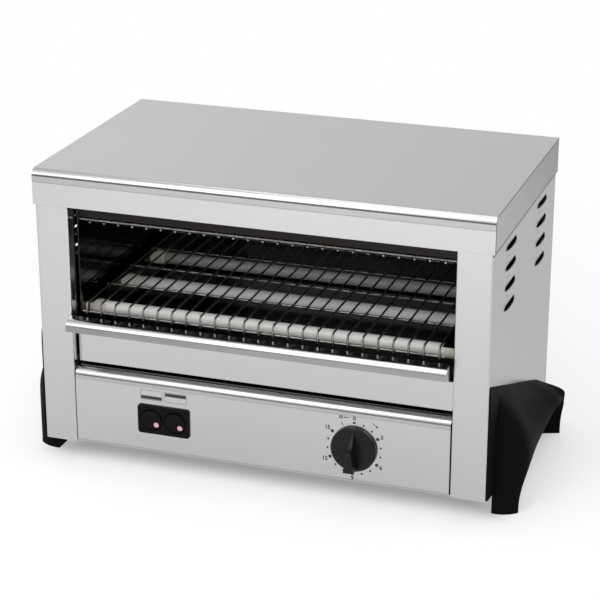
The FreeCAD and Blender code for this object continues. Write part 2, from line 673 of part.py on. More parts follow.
def rack_cross_height():
    return RACK_PLANE - RACK_WIRE - RACK_CROSS_WIRE + WELD_DEPTH


def cooking_rack():
    """Welded wire rack whose depth wires turn down at the front to a cross wire."""
    half = RACK_HALF_WIDTH
    low = rack_cross_height()
    pitch = RACK_CROSS_SPAN / (RACK_CROSS_COUNT - 1)
    rods = [cylinder(V(-half, RACK_CROSS_FIRST_Y + i * pitch, low), V(1, 0, 0), RACK_CROSS_WIRE, 2 * half)
            for i in range(RACK_CROSS_COUNT)]
    front_y = RACK_FRONT_Y + RACK_WIRE + RACK_CROSS_WIRE - WELD_DEPTH
    front_z = RACK_TIP_Z + RACK_FRONT_RISE
    rods.append(cylinder(V(-half, front_y, front_z), V(1, 0, 0), RACK_CROSS_WIRE, 2 * half))
    for x in depth_wire_xs():
        path = [V(x, RACK_REAR, RACK_PLANE), V(x, RACK_FRONT_Y, RACK_PLANE), V(x, RACK_FRONT_Y, RACK_TIP_Z)]
        rods.append(wire_rod(path, RACK_FRONT_BEND, RACK_WIRE))
    return rods[0].multiFuse(rods[1:])


def rack_rail():
    """Right rail: an angle on the chamber wall that the rack's cross wires lie on."""
    top = rack_cross_height() - RACK_CROSS_WIRE - FIT_GAP
    x1 = CHAMBER_HALF_WIDTH
    y0 = CHAMBER_FRONT + SHEET
    y1 = CHAMBER_REAR - RUNNER_REAR_GAP
    shelf = box(x1 - RAIL_WIDTH, x1, y0, y1, top - SHEET, top)
    upright = box(x1 - SHEET, x1, y0, y1, top - SHEET, top + RAIL_UPRIGHT)
    return fuse([shelf, upright])


def tray_runner():
    """Right runner: an angle on the chamber wall that carries the crumb tray."""
    top = TRAY_BOTTOM - FIT_GAP
    x1 = CHAMBER_HALF_WIDTH
    y0 = CHAMBER_FRONT + SHEET
    y1 = CHAMBER_REAR - RUNNER_REAR_GAP
    shelf = box(x1 - RUNNER_WIDTH, x1, y0, y1, top - SHEET, top)
    upright = box(x1 - SHEET, x1, y0, y1, top - SHEET, top + RUNNER_UPRIGHT)
    return fuse([shelf, upright])


def crumb_tray():
    """Shallow drawer whose front plate folds out at the top into a full-width pull lip."""
    half = TRAY_PLATE_HALF_WIDTH
    under = LIP_TOP - SHEET
    nose = SHEET - LIP_REACH
    line = [(TRAY_PLATE_Y, TRAY_BOTTOM), (TRAY_PLATE_Y, TRAY_PLATE_BEND_Z),
            (LIP_DEPTH - LIP_REACH, under), (nose + LIP_LEAN, under), (nose, LIP_TOP - LIP_FLANGE)]
    outline = sheet_outline(line, -SHEET)
    outer_corner = outline[-4]
    front = prism_x(outline, -half, half)
    front = rounded(front, LIP_NOSE, y=outer_corner[0], z=outer_corner[1])
    front = rounded(front, LIP_NOSE - SHEET, y=nose + LIP_LEAN, z=under)
    # The cheeks close the lip's ends, up to the middle of its sheet
    end, corner, rear = sheet_outline(line, -SHEET / 2)[-5:-2]
    cheek = prism_x([line[1], rear, corner, end], half - SHEET, half)
    cheek = rounded(cheek, LIP_NOSE - SHEET / 2, y=corner[0], z=corner[1])
    cheeks = [cheek, mirrored(cheek)]
    side = CHAMBER_HALF_WIDTH - TRAY_SIDE_GAP
    z0 = TRAY_BOTTOM
    z1 = TRAY_BOTTOM + TRAY_SIDE_HEIGHT
    floor = box(-side, side, TRAY_PLATE_Y, TRAY_REAR, z0, z0 + SHEET)
    walls = [box(-side, -side + SHEET, TRAY_PLATE_Y, TRAY_REAR, z0, z1),
             box(side - SHEET, side, TRAY_PLATE_Y, TRAY_REAR, z0, z1),
             box(-side, side, TRAY_REAR - SHEET, TRAY_REAR, z0, z1)]
    return fuse([front, floor] + walls + cheeks)


def quartz_tube(y, z):
    half = CHAMBER_HALF_WIDTH - CAP_LENGTH + CAP_OVERLAP - TUBE_FIT
    outer = cylinder(V(-half, y, z), V(1, 0, 0), TUBE_RADIUS, 2 * half)
    return cut(outer, [cylinder(V(-half - 1, y, z), V(1, 0, 0), TUBE_RADIUS - TUBE_WALL, 2 * half + 2)])


def tube_cap(y, z):
    """Right ceramic cap: it holds the tube's end, and its stub goes through the wall."""
    x1 = CHAMBER_HALF_WIDTH
    x0 = x1 - CAP_LENGTH
    body = cylinder(V(x0, y, z), V(1, 0, 0), CAP_RADIUS, CAP_LENGTH)
    body = body.makeFillet(0.8, [e for e in body.Edges if e.Closed and abs(e.CenterOfMass.x - x0) < 1e-6])
    stub = cylinder(V(x1, y, z), V(1, 0, 0), CAP_STUB_RADIUS, LINER_SHEET + CAP_STUB_LENGTH)
    bore = cylinder(V(x0 - 1, y, z), V(1, 0, 0), TUBE_RADIUS + TUBE_FIT, CAP_OVERLAP + 1)
    tail_bore = cylinder(V(x0, y, z), V(1, 0, 0), TAIL_RADIUS + 2 * TUBE_FIT, 4 * CAP_LENGTH)
    return cut(fuse([body, stub]), [bore, tail_bore])


def heating_coil(y, z):
    """The wound coil as a plain rod of its outer size, with a straight tail at each end."""
    half = CHAMBER_HALF_WIDTH - CAP_LENGTH
    coil = cylinder(V(-half, y, z), V(1, 0, 0), COIL_RADIUS, 2 * half)
    tail = cylinder(V(-TAIL_END, y, z), V(1, 0, 0), TAIL_RADIUS, 2 * TAIL_END)
    return fuse([coil, tail])


def bus_strip(z):
    """Right strip that joins the three tails of one row."""
    strip = box(STUB_END, STUB_END + STRIP_THICKNESS, TUBE_YS[0] - STRIP_MARGIN, TUBE_YS[-1] + STRIP_MARGIN,
                z - STRIP_HALF_HEIGHT, z + STRIP_HALF_HEIGHT)
    holes = [cylinder(V(STUB_END - 1, y, z), V(1, 0, 0), TAIL_RADIUS + 2 * TUBE_FIT, 3) for y in TUBE_YS]
    return cut(strip, holes)


def tail_nut(y, z):
    x0 = STUB_END + STRIP_THICKNESS
    corners = [V(x0, y + NUT_RADIUS * math.cos(a), z + NUT_RADIUS * math.sin(a))
               for a in (i * math.pi / 3 for i in range(6))]
    nut = Part.Face(Part.makePolygon(corners + corners[:1])).extrude(V(NUT_HEIGHT, 0, 0))
    return cut(nut, [cylinder(V(x0 - 1, y, z), V(1, 0, 0), TAIL_RADIUS + TUBE_FIT, NUT_HEIGHT + 2)])


def rocker_axis(side):
    """Centre of a rocker's pins; side is -1 for the left rocker and 1 for the right one."""
    return V(SWITCH_X + side * ROCKER_SPACING / 2, ROCKER_THICKNESS / 2 - ROCKER_PROUD, CONTROL_HEIGHT)


def switch_housing():
    half_x = BEZEL_WIDTH / 2
    half_z = BEZEL_HEIGHT / 2
    bezel = box(SWITCH_X - half_x, SWITCH_X + half_x, -BEZEL_THICKNESS, 0,
                CONTROL_HEIGHT - half_z, CONTROL_HEIGHT + half_z)
    for sx in (-1, 1):
        for sz in (-1, 1):
            bezel = rounded(bezel, BEZEL_CORNER, x=SWITCH_X + sx * half_x, z=CONTROL_HEIGHT + sz * half_z)
    front = [e for e in bezel.Edges if abs(e.CenterOfMass.y + BEZEL_THICKNESS) < 1e-4]
    bezel = bezel.makeChamfer(BEZEL_CHAMFER, front)
    whole = fuse([bezel, switch_cutout(0, 0, SWITCH_DEPTH)])
    cuts = []
    for side in (-1, 1):
        axis = rocker_axis(side)
        mouth = V(axis.x, -ROCKER_WELL, axis.z)
        cuts.append(cylinder(mouth, V(0, 1, 0), ROCKER_RADIUS + ROCKER_GAP, 2 * ROCKER_WELL))
    pin_reach = ROCKER_SPACING / 2 + pin_end() + PIN_FIT
    start = V(SWITCH_X - pin_reach, rocker_axis(1).y, CONTROL_HEIGHT)
    cuts.append(cylinder(start, V(1, 0, 0), ROCKER_PIN + PIN_FIT, 2 * pin_reach))
    return cut(whole, cuts)


def pin_end():
    return ROCKER_SPACING / 2 - 3 * PIN_FIT


def tilted(shape, side):
    """A rocker rests with its upper edge out."""
    turned = shape.copy()
    turned.rotate(rocker_axis(side), V(1, 0, 0), ROCKER_TILT)
    return turned


def rocker(side):
    axis = rocker_axis(side)
    y0 = axis.y - ROCKER_THICKNESS / 2
    disc = cylinder(V(axis.x, y0, axis.z), V(0, 1, 0), ROCKER_RADIUS, ROCKER_THICKNESS)
    disc = disc.makeFillet(ROCKER_ROUND, [e for e in disc.Edges if e.Closed])
    dish = Part.makeSphere(DISH_RADIUS, V(axis.x, y0 + DISH_DEPTH - DISH_RADIUS, axis.z))
    pin = cylinder(V(axis.x - pin_end(), axis.y, axis.z), V(1, 0, 0), ROCKER_PIN, 2 * pin_end())
    seat = cylinder(V(axis.x + LENS_OFFSET_X, y0 - LENS_PROUD, axis.z + LENS_OFFSET_Z), V(0, 1, 0),
                    LENS_RADIUS + TUBE_FIT, LENS_LENGTH)
    return tilted(cut(fuse([cut(disc, [dish]), pin]), [seat]), side)


def lamp_lens(side):
    axis = rocker_axis(side)
    y0 = axis.y - ROCKER_THICKNESS / 2
    front = y0 - LENS_PROUD
    centre = V(axis.x + LENS_OFFSET_X, front, axis.z + LENS_OFFSET_Z)
    lens = cylinder(centre, V(0, 1, 0), LENS_RADIUS, LENS_LENGTH)
    rim = [e for e in lens.Edges if e.Closed and abs(e.CenterOfMass.y - front) < 1e-6]
    return tilted(lens.makeFillet(ROCKER_ROUND, rim), side)


def timer_knob():
    """Disc with a bevelled rim and a raised grip that runs to a point at the top."""
    back = -KNOB_GAP
    rim = back - KNOB_DISC
    disc = cylinder(V(KNOB_X, rim, CONTROL_HEIGHT), V(0, 1, 0), KNOB_RADIUS, KNOB_DISC)
    front = [e for e in disc.Edges if e.Closed and abs(e.CenterOfMass.y - rim) < 1e-6]
    disc = disc.makeChamfer(KNOB_BEVEL, front)
    side = [(rim + 0.5, GRIP_TOP), (rim - GRIP_STEP, GRIP_TOP), (-KNOB_REACH, GRIP_CREST),
            (-KNOB_REACH, GRIP_BOTTOM), (rim + 0.5, GRIP_BOTTOM - 1.0)]
    ramp = prism_x([(y, CONTROL_HEIGHT + z) for y, z in side], KNOB_X - KNOB_RADIUS, KNOB_X + KNOB_RADIUS)
    grip = cut(ramp, [grip_hollow(rim)]).common(grip_taper(rim))
    grip = grip.makeFillet(0.6, [e for e in grip.Edges if e.CenterOfMass.y < rim - 1.0])
    recess = cylinder(V(KNOB_X, back - 2.4, CONTROL_HEIGHT), V(0, 1, 0), KNOB_RADIUS - 2.5, 4)
    hub = cylinder(V(KNOB_X, back - 3, CONTROL_HEIGHT), V(0, 1, 0), SHAFT_RADIUS + HUB_WALL, 6)
    deep = V(KNOB_X, SHAFT_CAP - KNOB_REACH, CONTROL_HEIGHT)
    bore = cylinder(deep, V(0, 1, 0), SHAFT_RADIUS + SHAFT_FIT, KNOB_REACH)
    return cut(fuse([disc, grip]), [cut(recess, [hub]), bore])


def grip_hollow(rim):
    """Cylinder along X that hollows the grip's ramp between its top and its crest."""
    top = V(0, rim - GRIP_STEP, CONTROL_HEIGHT + GRIP_TOP)
    crest = V(0, -KNOB_REACH, CONTROL_HEIGHT + GRIP_CREST)
    ramp = crest - top
    half = ramp.Length / 2
    radius = (half ** 2 + GRIP_HOLLOW ** 2) / (2 * GRIP_HOLLOW)
    outward = V(0, ramp.z, -ramp.y).normalize()
    centre = top + ramp * 0.5 + outward * (radius - GRIP_HOLLOW)
    return cylinder(centre + V(KNOB_X - KNOB_RADIUS, 0, 0), V(1, 0, 0), radius, 2 * KNOB_RADIUS)


def grip_taper(rim):
    """Wedge of the grip seen from the front: its flanks lean in towards the crest."""
    wires = []
    for y, shrink in ((rim + 1.0, 0.0), (-KNOB_REACH - 1.0, GRIP_LEAN)):
        low = CONTROL_HEIGHT + GRIP_BOTTOM - 2.0
        outline = [V(KNOB_X - GRIP_POINT, y, CONTROL_HEIGHT + GRIP_TOP + 1 - shrink),
                   V(KNOB_X + GRIP_POINT, y, CONTROL_HEIGHT + GRIP_TOP + 1 - shrink),
                   V(KNOB_X + GRIP_HALF_WIDTH - shrink, y, low), V(KNOB_X - GRIP_HALF_WIDTH + shrink, y, low)]
        wires.append(Part.makePolygon(outline + outline[:1]))
    return Part.makeLoft(wires, True, True)


def timer_shaft():
    start = V(KNOB_X, SHAFT_CAP - KNOB_REACH, CONTROL_HEIGHT)
    return cylinder(start, V(0, 1, 0), SHAFT_RADIUS, SHAFT_INSIDE - start.y)


def timer_body():
    half = TIMER_SIZE / 2
    case = box(KNOB_X - half, KNOB_X + half, SHEET, SHEET + TIMER_DEPTH,
               CONTROL_HEIGHT - half, CONTROL_HEIGHT + half)
    for sx in (-1, 1):
        for sz in (-1, 1):
            case = rounded(case, TIMER_CORNER, x=KNOB_X + sx * half, z=CONTROL_HEIGHT + sz * half)
    back = SHEET + TIMER_DEPTH
    blade_z = CONTROL_HEIGHT - BLADE_DROP
    reach = BLADE_WIDTH / 2
    blades = [box(KNOB_X + x - reach, KNOB_X + x + reach, back - SHEET, back + BLADE_LENGTH,
                  blade_z - LINER_SHEET, blade_z) for x in BLADE_XS]
    mouth = V(KNOB_X, 0, CONTROL_HEIGHT)
    bore = cylinder(mouth, V(0, 1, 0), SHAFT_RADIUS + SHAFT_FIT, SHAFT_INSIDE + FIT_GAP)
    threads = [cylinder(p, V(0, 1, 0), SCREW_RADIUS + TUBE_FIT, SCREW_LENGTH + FIT_GAP)
               for p in timer_screw_places()]
    return cut(fuse([case] + blades), [bore] + threads)


def terminal_block():
    top = FLOOR_Z + BLOCK_HEIGHT
    half = BLOCK_WIDTH / 2
    block = box(BLOCK_X - half, BLOCK_X + half, BLOCK_Y, BLOCK_Y + BLOCK_DEPTH, FLOOR_Z, top)
    poles = [cylinder(V(BLOCK_X + x, BLOCK_Y + BLOCK_DEPTH / 2, top - BLOCK_POLE_DEPTH), V(0, 0, 1),
                      BLOCK_POLE_RADIUS, BLOCK_HEIGHT) for x in BLOCK_POLES]
    return cut(block, poles)


def cable_gland():
    """Gland through the back panel, with its nut inside: the supply lead goes in here."""
    y_axis = V(0, 1, 0)
    start = SIDE_DEPTH - GLAND_NUT - SHEET
    thread = cylinder(V(GLAND_X, start, GLAND_Z), y_axis, GLAND_THREAD - 2 * TUBE_FIT,
                      BODY_DEPTH + SHEET - start)
    flange = cylinder(V(GLAND_X, BODY_DEPTH, GLAND_Z), y_axis, GLAND_RADIUS, GLAND_RIM)
    nose = Part.makeCone(GLAND_RADIUS - SHEET, GLAND_RADIUS - 3 * SHEET, GLAND_REACH - GLAND_RIM,
                         V(GLAND_X, BODY_DEPTH + GLAND_RIM, GLAND_Z), y_axis)
    nut = cylinder(V(GLAND_X, SIDE_DEPTH - GLAND_NUT, GLAND_Z), y_axis, GLAND_RADIUS, GLAND_NUT)
    bore = cylinder(V(GLAND_X, start - SHEET, GLAND_Z), y_axis, GLAND_BORE, REAR_REACH + 2 * SHEET - start)
    return cut(fuse([thread, flange, nose, nut]), [bore])


def leads():
    """Insulated leads held inside the body, each along its own route."""
    block_z = FLOOR_Z + BLOCK_LEAD_HEIGHT
    block_left = BLOCK_X + BLOCK_POLES[0]
    timer_back = SHEET + TIMER_DEPTH
    strip_x = STUB_END + STRIP_THICKNESS / 2
    lower_bottom = LOWER_TUBE_Z - STRIP_HALF_HEIGHT
    switch_x = SWITCH_X + SWITCH_LEAD_X
    timer_left = KNOB_X - TIMER_LEAD_X
    timer_right = KNOB_X + TIMER_LEAD_X
    switch_low = CONTROL_HEIGHT - SWITCH_LEAD_DROP
    switch_high = CONTROL_HEIGHT + SWITCH_LEAD_RISE
    timer_high = CONTROL_HEIGHT + TIMER_LEAD_RISE
    routes = {}
    routes["lead_block_to_switch"] = [
        V(BLOCK_X, BLOCK_Y, block_z), V(BLOCK_X, LEAD_TURN_Y, block_z),
        V(SWITCH_X, LEAD_TURN_Y, switch_low), V(SWITCH_X, SWITCH_DEPTH, switch_low)]
    routes["lead_switch_to_timer"] = [
        V(switch_x, SWITCH_DEPTH, switch_high), V(switch_x, LEAD_RUN_Y, switch_high),
        V(timer_left, LEAD_RUN_Y, timer_high), V(timer_left, timer_back, timer_high)]
    routes["lead_timer_to_right_strip"] = [
        V(timer_right, timer_back, LEAD_PASS_Z), V(timer_right, LEAD_PASS_Y, LEAD_PASS_Z),
        V(strip_x, LEAD_PASS_Y, LEAD_PASS_Z), V(strip_x, LEAD_PASS_Y, lower_bottom)]
    routes["lead_block_to_left_strip"] = [
        V(block_left, BLOCK_Y, block_z), V(block_left, BLOCK_Y - 3 * LEAD_BEND, block_z),
        V(block_left, LEAD_PASS_Y, LEAD_PASS_Z), V(-strip_x, LEAD_PASS_Y, LEAD_PASS_Z),
        V(-strip_x, LEAD_PASS_Y, lower_bottom)]
    pieces = {name: wire_rod(points, LEAD_BEND, LEAD_RADIUS) for name, points in routes.items()}
    lower_top = LOWER_TUBE_Z + STRIP_HALF_HEIGHT
    link = cylinder(V(strip_x, LEAD_LINK_Y, lower_top), V(0, 0, 1), LEAD_RADIUS,
                    UPPER_TUBE_Z - STRIP_HALF_HEIGHT - lower_top)
    pieces.update(both_sides("lead_lower_to_upper_strip", link))
    return pieces


def foot_top(y):
    """Height of the foot's top edge on the side panel."""
    if y <= FOOT_TOP_REAR_Y:
        share = (y - FOOT_FRONT_Y) / (FOOT_TOP_REAR_Y - FOOT_FRONT_Y)
        return FOOT_TOP_FRONT_Z + share * (FOOT_TOP_REAR_Z - FOOT_TOP_FRONT_Z)
    share = (y - FOOT_TOP_REAR_Y) / (foot_rear() - FOOT_TOP_REAR_Y)
    return FOOT_TOP_REAR_Z + share * (FOOT_END_Z - FOOT_TOP_REAR_Z)


def foot_rear():
    return 2 * FOOT_MIDDLE_Y - FOOT_CREASE_Y


def foot_stand(y, z):
    """How far the foot stands out from the side panel at depth y and height z."""
    top = foot_top(y)
    near = min(y, 2 * FOOT_MIDDLE_Y - y)
    edge = min(1.0, (top - z) / FOOT_EDGE) ** 0.5
    share = min(1.0, (near - FOOT_FRONT_Y) / (FOOT_CREASE_Y - FOOT_FRONT_Y))
    skirt = (FOOT_SKIRT + (CREASE_STAND - FOOT_SKIRT) * share) * edge
    if near <= FOOT_CREASE_Y:
        return skirt
    down = min(1.0, (top - z) / max(top - FOOT_RIM_Z, FOOT_EDGE))
    flare = FOOT_FLARE * math.sin(math.pi / 2 * down) ** FLARE_POWER
    low = 1.0 - min(z / RIDGE_Z, 1.0)
    flare = flare * (1.0 - LEG_TAPER * low)
    ridge = RIDGE_HIGH_Y - (RIDGE_HIGH_Y - RIDGE_LOW_Y) * low
    along = min(1.0, (near - FOOT_CREASE_Y) / (ridge - FOOT_CREASE_Y))
    return skirt + max(flare - skirt, 0.0) * math.sin(math.pi / 2 * along) ** 0.5


def foot_section(y):
    """Closed section of the right foot at depth y, down to a little under the counter's surface."""
    top = foot_top(y)
    heights = [top - (top + FOOT_SPARE) * s for s in PROFILE_STEPS]
    points = [V(HALF_WIDTH + foot_stand(y, z), y, z) for z in heights]
    curve = Part.BSplineCurve()
    curve.interpolate(points)
    corner = V(HALF_WIDTH, y, -FOOT_SPARE)
    return Part.Wire([curve.toShape(), Part.LineSegment(points[-1], corner).toShape(),
                      Part.LineSegment(corner, points[0]).toShape()])


def arch_wire(x, half_line):
    """Side outline of the space between the legs, at one distance from the side panel."""
    front = [V(x, y, z) for y, z in half_line]
    crown = [V(x, FOOT_MIDDLE_Y, FOOT_RIM_Z)]
    rear = [V(x, 2 * FOOT_MIDDLE_Y - y, z) for y, z in reversed(half_line)]
    curve = Part.BSplineCurve()
    curve.interpolate(front + crown + rear)
    return Part.Wire([curve.toShape(), Part.LineSegment(rear[-1], front[0]).toShape()])


def foot():
    """Right foot: a skirt on the panel, two wedge-shaped legs and a flared wing between them."""
    front_ys = (FOOT_FRONT_Y, SKIRT_STATION, FOOT_CREASE_Y)
    front = Part.makeLoft([foot_section(y) for y in front_ys], True, False)
    middle_ys = [FOOT_CREASE_Y + d for d in LEG_STATIONS]
    middle_ys += [FOOT_MIDDLE_Y, FOOT_MIDDLE_Y + WING_STATION]
    middle_ys += [FOOT_TOP_REAR_Y - TAIL_STATION, FOOT_TOP_REAR_Y]
    middle = Part.makeLoft([foot_section(y) for y in middle_ys], True, False)
    rear_ys = [foot_rear() - d for d in REAR_LEG_STATIONS] + [FOOT_TOP_REAR_Y]
    rear = Part.makeLoft([foot_section(y) for y in reversed(rear_ys)], True, False)
    whole = fuse([front, middle, rear])
    under_skirt = box(HALF_WIDTH - 1, HALF_WIDTH + FOOT_FLARE, FOOT_FRONT_Y - 1, FOOT_CREASE_Y,
                      -2 * FOOT_SPARE, FOOT_DROP)
    under_legs = box(HALF_WIDTH - 1, HALF_WIDTH + 2 * FOOT_FLARE, 0, BODY_DEPTH, -2 * FOOT_SPARE, 0)
    inner = arch_wire(HALF_WIDTH - 1, ARCH_INNER)
    outer = arch_wire(HALF_WIDTH + FOOT_FLARE + 2, ARCH_OUTER)
    arch = Part.makeLoft([inner, outer], True, True)
    pilots = [cylinder(V(HALF_WIDTH - 1, y, z), V(1, 0, 0), SCREW_RADIUS + TUBE_FIT, SCREW_LENGTH + SHEET)
              for y, z in FOOT_SCREWS]
    for tool in [under_legs, arch, under_skirt] + pilots:
        whole = cut(whole, [tool])
    return whole


def back_screws():
    return [screw(V(x, BODY_DEPTH, z), V(0, -1, 0)) for x, z in back_screw_places()]


def lid_screws():
    seat_y = BODY_DEPTH + FIT_GAP + SHEET
    return [screw(V(x, seat_y, z), V(0, -1, 0)) for x, z in lid_screw_places()]


def base_screws():
    return [screw(V(x, y, FOOT_DROP), V(0, 0, 1)) for x, y in base_screw_places()]


def foot_screws():
    right = [screw(V(HALF_WIDTH - SHEET, y, z), V(1, 0, 0)) for y, z in FOOT_SCREWS]
    return right + [mirrored(s) for s in right]


def timer_screws():
    return [screw(p, V(0, 1, 0), head=TIMER_SCREW_HEAD, head_height=TIMER_SCREW_HEAD_HEIGHT)
            for p in timer_screw_places()]


def both_sides(name, right):
    return {name + "_right": right, name + "_left": mirrored(right)}


def tube_pieces():
    """Tubes, caps, coils, strips and nuts of both rows."""
    pieces = {}
    strips = []
    nuts = []
    for row, z in (("lower", LOWER_TUBE_Z), ("upper", UPPER_TUBE_Z)):
        for name, y in zip(TUBE_ROWS, TUBE_YS):
            pieces[row + "_tube_" + name] = quartz_tube(y, z)
        caps = [tube_cap(y, z) for y in TUBE_YS]
        pieces[row + "_caps_right"] = caps
        pieces[row + "_caps_left"] = [mirrored(c) for c in caps]
        pieces[row + "_heating_coils"] = [heating_coil(y, z) for y in TUBE_YS]
        strips.append(bus_strip(z))
        nuts += [tail_nut(y, z) for y in TUBE_YS]
    pieces["bus_strips"] = strips + [mirrored(s) for s in strips]
    pieces["terminal_nuts"] = nuts + [mirrored(n) for n in nuts]
    return pieces


def all_pieces():
    pieces = {"lid": lid(), "control_panel": control_panel(), "back_panel": back_panel(),
              "base_plate": base_plate(), "chamber_back": chamber_back(), "heat_shield": heat_shield(),
              "top_reflector": top_reflector(), "front_baffle": front_baffle(), "upper_guard": upper_guard(),
              "cooking_rack": cooking_rack(), "crumb_tray": crumb_tray(), "switch_housing": switch_housing(),
              "timer_knob": timer_knob(), "timer_shaft": timer_shaft(), "timer_body": timer_body(),
              "terminal_block": terminal_block(), "cable_gland": cable_gland(),
              "rocker_left": rocker(-1), "rocker_right": rocker(1),
              "lamp_lens_left": lamp_lens(-1), "lamp_lens_right": lamp_lens(1),
              "back_screws": back_screws(), "lid_screws": lid_screws(), "base_screws": base_screws(),
              "foot_screws": foot_screws(), "timer_screws": timer_screws()}
    for name, make in (("side_panel", side_panel), ("foot", foot), ("chamber_wall", chamber_wall),
                       ("rack_rail", rack_rail), ("tray_runner", tray_runner)):
        pieces.update(both_sides(name, make()))
    pieces.update(tube_pieces())
    pieces.update(leads())
    return pieces


def main():
    os.makedirs("parts", exist_ok=True)
    shift = V(0, Y_SHIFT, 0)
    for name, piece in sorted(all_pieces().items()):
        shape = Part.makeCompound(piece) if isinstance(piece, list) else piece
        shape = shape.copy()
        shape.translate(shift)
        shape.exportStep("parts/" + name + ".step")
        print(name, len(shape.Solids), "solids", round(shape.Volume / 1000, 2), "cm3", shape.isValid())


main()
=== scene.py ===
import math

import bmesh
import bpy
from bpy.props import FloatProperty, FloatVectorProperty, IntProperty, PointerProperty
from mathutils import Matrix, Vector


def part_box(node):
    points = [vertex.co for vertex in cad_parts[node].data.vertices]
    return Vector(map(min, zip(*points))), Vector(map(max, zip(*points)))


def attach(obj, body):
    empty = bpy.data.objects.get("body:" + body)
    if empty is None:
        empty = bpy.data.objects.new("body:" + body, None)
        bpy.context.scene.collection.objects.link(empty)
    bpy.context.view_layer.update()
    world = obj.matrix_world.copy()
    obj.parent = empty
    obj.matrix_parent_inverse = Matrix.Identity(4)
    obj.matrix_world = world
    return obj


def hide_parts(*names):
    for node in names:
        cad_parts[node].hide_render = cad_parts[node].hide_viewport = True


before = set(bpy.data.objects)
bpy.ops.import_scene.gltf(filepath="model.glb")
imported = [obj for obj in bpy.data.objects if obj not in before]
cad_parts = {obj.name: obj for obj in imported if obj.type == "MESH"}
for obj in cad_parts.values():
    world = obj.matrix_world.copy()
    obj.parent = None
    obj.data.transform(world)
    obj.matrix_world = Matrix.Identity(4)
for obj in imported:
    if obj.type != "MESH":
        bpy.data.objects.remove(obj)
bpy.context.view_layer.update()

bl_info = {
    "name": "Toaster grill",
    "version": (1, 0, 0),
    "blender": (4, 5, 0),
    "location": "3D View > Sidebar > Toaster grill",
    "description": "Finishes, printed marks, heating wires and stage of a counter-top toaster grill",
    "category": "Object",
}

STEEL_SHEETS = ("back_panel", "base_plate")
LINER_SHEETS = ("chamber_wall_left", "chamber_wall_right", "chamber_back", "top_reflector", "heat_shield")
RAILS = ("rack_rail_left", "rack_rail_right", "tray_runner_left", "tray_runner_right")
WIRE_GRILLES = ("cooking_rack", "upper_guard")
QUARTZ_TUBES = ("lower_tube_front", "lower_tube_middle", "lower_tube_rear",
                "upper_tube_front", "upper_tube_middle", "upper_tube_rear")
CERAMIC_CAPS = ("lower_caps_left", "lower_caps_right", "upper_caps_left", "upper_caps_right")
FEET = ("foot_left", "foot_right")
SWITCH_PARTS = ("switch_housing", "rocker_left", "rocker_right")
LENSES = ("lamp_lens_left", "lamp_lens_right")
SCREWS = ("lid_screws", "back_screws", "base_screws", "foot_screws", "timer_screws")
BRASS_PARTS = ("bus_strips", "terminal_nuts")
LEADS = ("lead_block_to_left_strip", "lead_block_to_switch", "lead_lower_to_upper_strip_left",
         "lead_lower_to_upper_strip_right", "lead_switch_to_timer", "lead_timer_to_right_strip")

# Stretch of the grain along its brush lines, and the least X of a normal that looks sideways
BRUSH_ALONG_X = (0.012, 1, 1)
BRUSH_ALONG_Z = (1, 1, 0.012)
SIDEWAYS = 0.7

BROWNED_STRIP = (0.028, 0.026, 0.025)
# Near black: heat browning of the tray, darkened further as painted shade
TRAY_BROWN_AND_SHADE = (0.030, 0.027, 0.024)
COIL_METAL = (0.30, 0.28, 0.26)
SCREW_STEEL = (0.55, 0.55, 0.56)
SHAFT_STEEL = (0.5, 0.5, 0.5)
BRASS = (0.62, 0.45, 0.20)
GLAND_PLASTIC = (0.02, 0.02, 0.02)
INNER_PLASTIC = (0.55, 0.53, 0.48)
INK = (0.015, 0.015, 0.016)
FLOOR_TONE = (0.60, 0.60, 0.604)

PANEL_LOW, PANEL_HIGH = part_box("control_panel")
DIAL_CENTRE = Vector((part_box("timer_shaft")[0].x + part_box("timer_shaft")[1].x, 0,
                      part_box("timer_shaft")[0].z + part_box("timer_shaft")[1].z)) / 2
SWITCH_LOW, SWITCH_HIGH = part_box("switch_housing")


class FinishSizes(bpy.types.PropertyGroup):
    """Colours and surface sizes of the finishes"""
    steel: FloatVectorProperty(
        name="Stainless steel", description="Colour of the brushed outer sheets", subtype="COLOR",
        size=3, min=0, max=1, default=(0.66, 0.66, 0.662))
    # Near black: the liner's heat tint, darkened further as painted shade of the cooking space
    liner: FloatVectorProperty(
        name="Liner steel", description="Colour of the polished sheets round the cooking space",
        subtype="COLOR", size=3, min=0, max=1, default=(0.075, 0.072, 0.070))
    wire: FloatVectorProperty(
        name="Bright wire", description="Colour of the rack and guard wires", subtype="COLOR",
        size=3, min=0, max=1, default=(0.34, 0.335, 0.33))
    quartz: FloatVectorProperty(
        name="Milky quartz", description="Colour of the heating tubes", subtype="COLOR",
        size=3, min=0, max=1, default=(0.86, 0.85, 0.83))
    ceramic: FloatVectorProperty(
        name="Ceramic", description="Colour of the tube caps", subtype="COLOR",
        size=3, min=0, max=1, default=(0.70, 0.68, 0.62))
    black_plastic: FloatVectorProperty(
        name="Black moulding", description="Colour of the feet, knob and switch", subtype="COLOR",
        size=3, min=0, max=1, default=(0.0042, 0.0042, 0.0046))
    # Painted shade along the folds of the outer sheets and under the lid's hem, standing in for contact
    # shade and dark reflections there
    seams: FloatProperty(
        name="Seams", description="How dark the folds and seams of the outer sheets look", min=0, max=1,
        default=0.72)
    # Heat browning of the tray together with painted shade inside the cooking space
    browning: FloatProperty(
        name="Browning", description="How far heat has browned the inside of the crumb tray", min=0, max=1,
        default=0.88)
    lens: FloatVectorProperty(
        name="Lamp lens", description="Colour of the two pilot lamp lenses", subtype="COLOR",
        size=3, min=0, max=1, default=(0.80, 0.32, 0.40))
    grain_pitch: FloatProperty(
        name="Brush lines", description="Distance between brush lines on the steel", unit="LENGTH",
        subtype="DISTANCE", min=0.0002, max=0.005, default=0.0007)


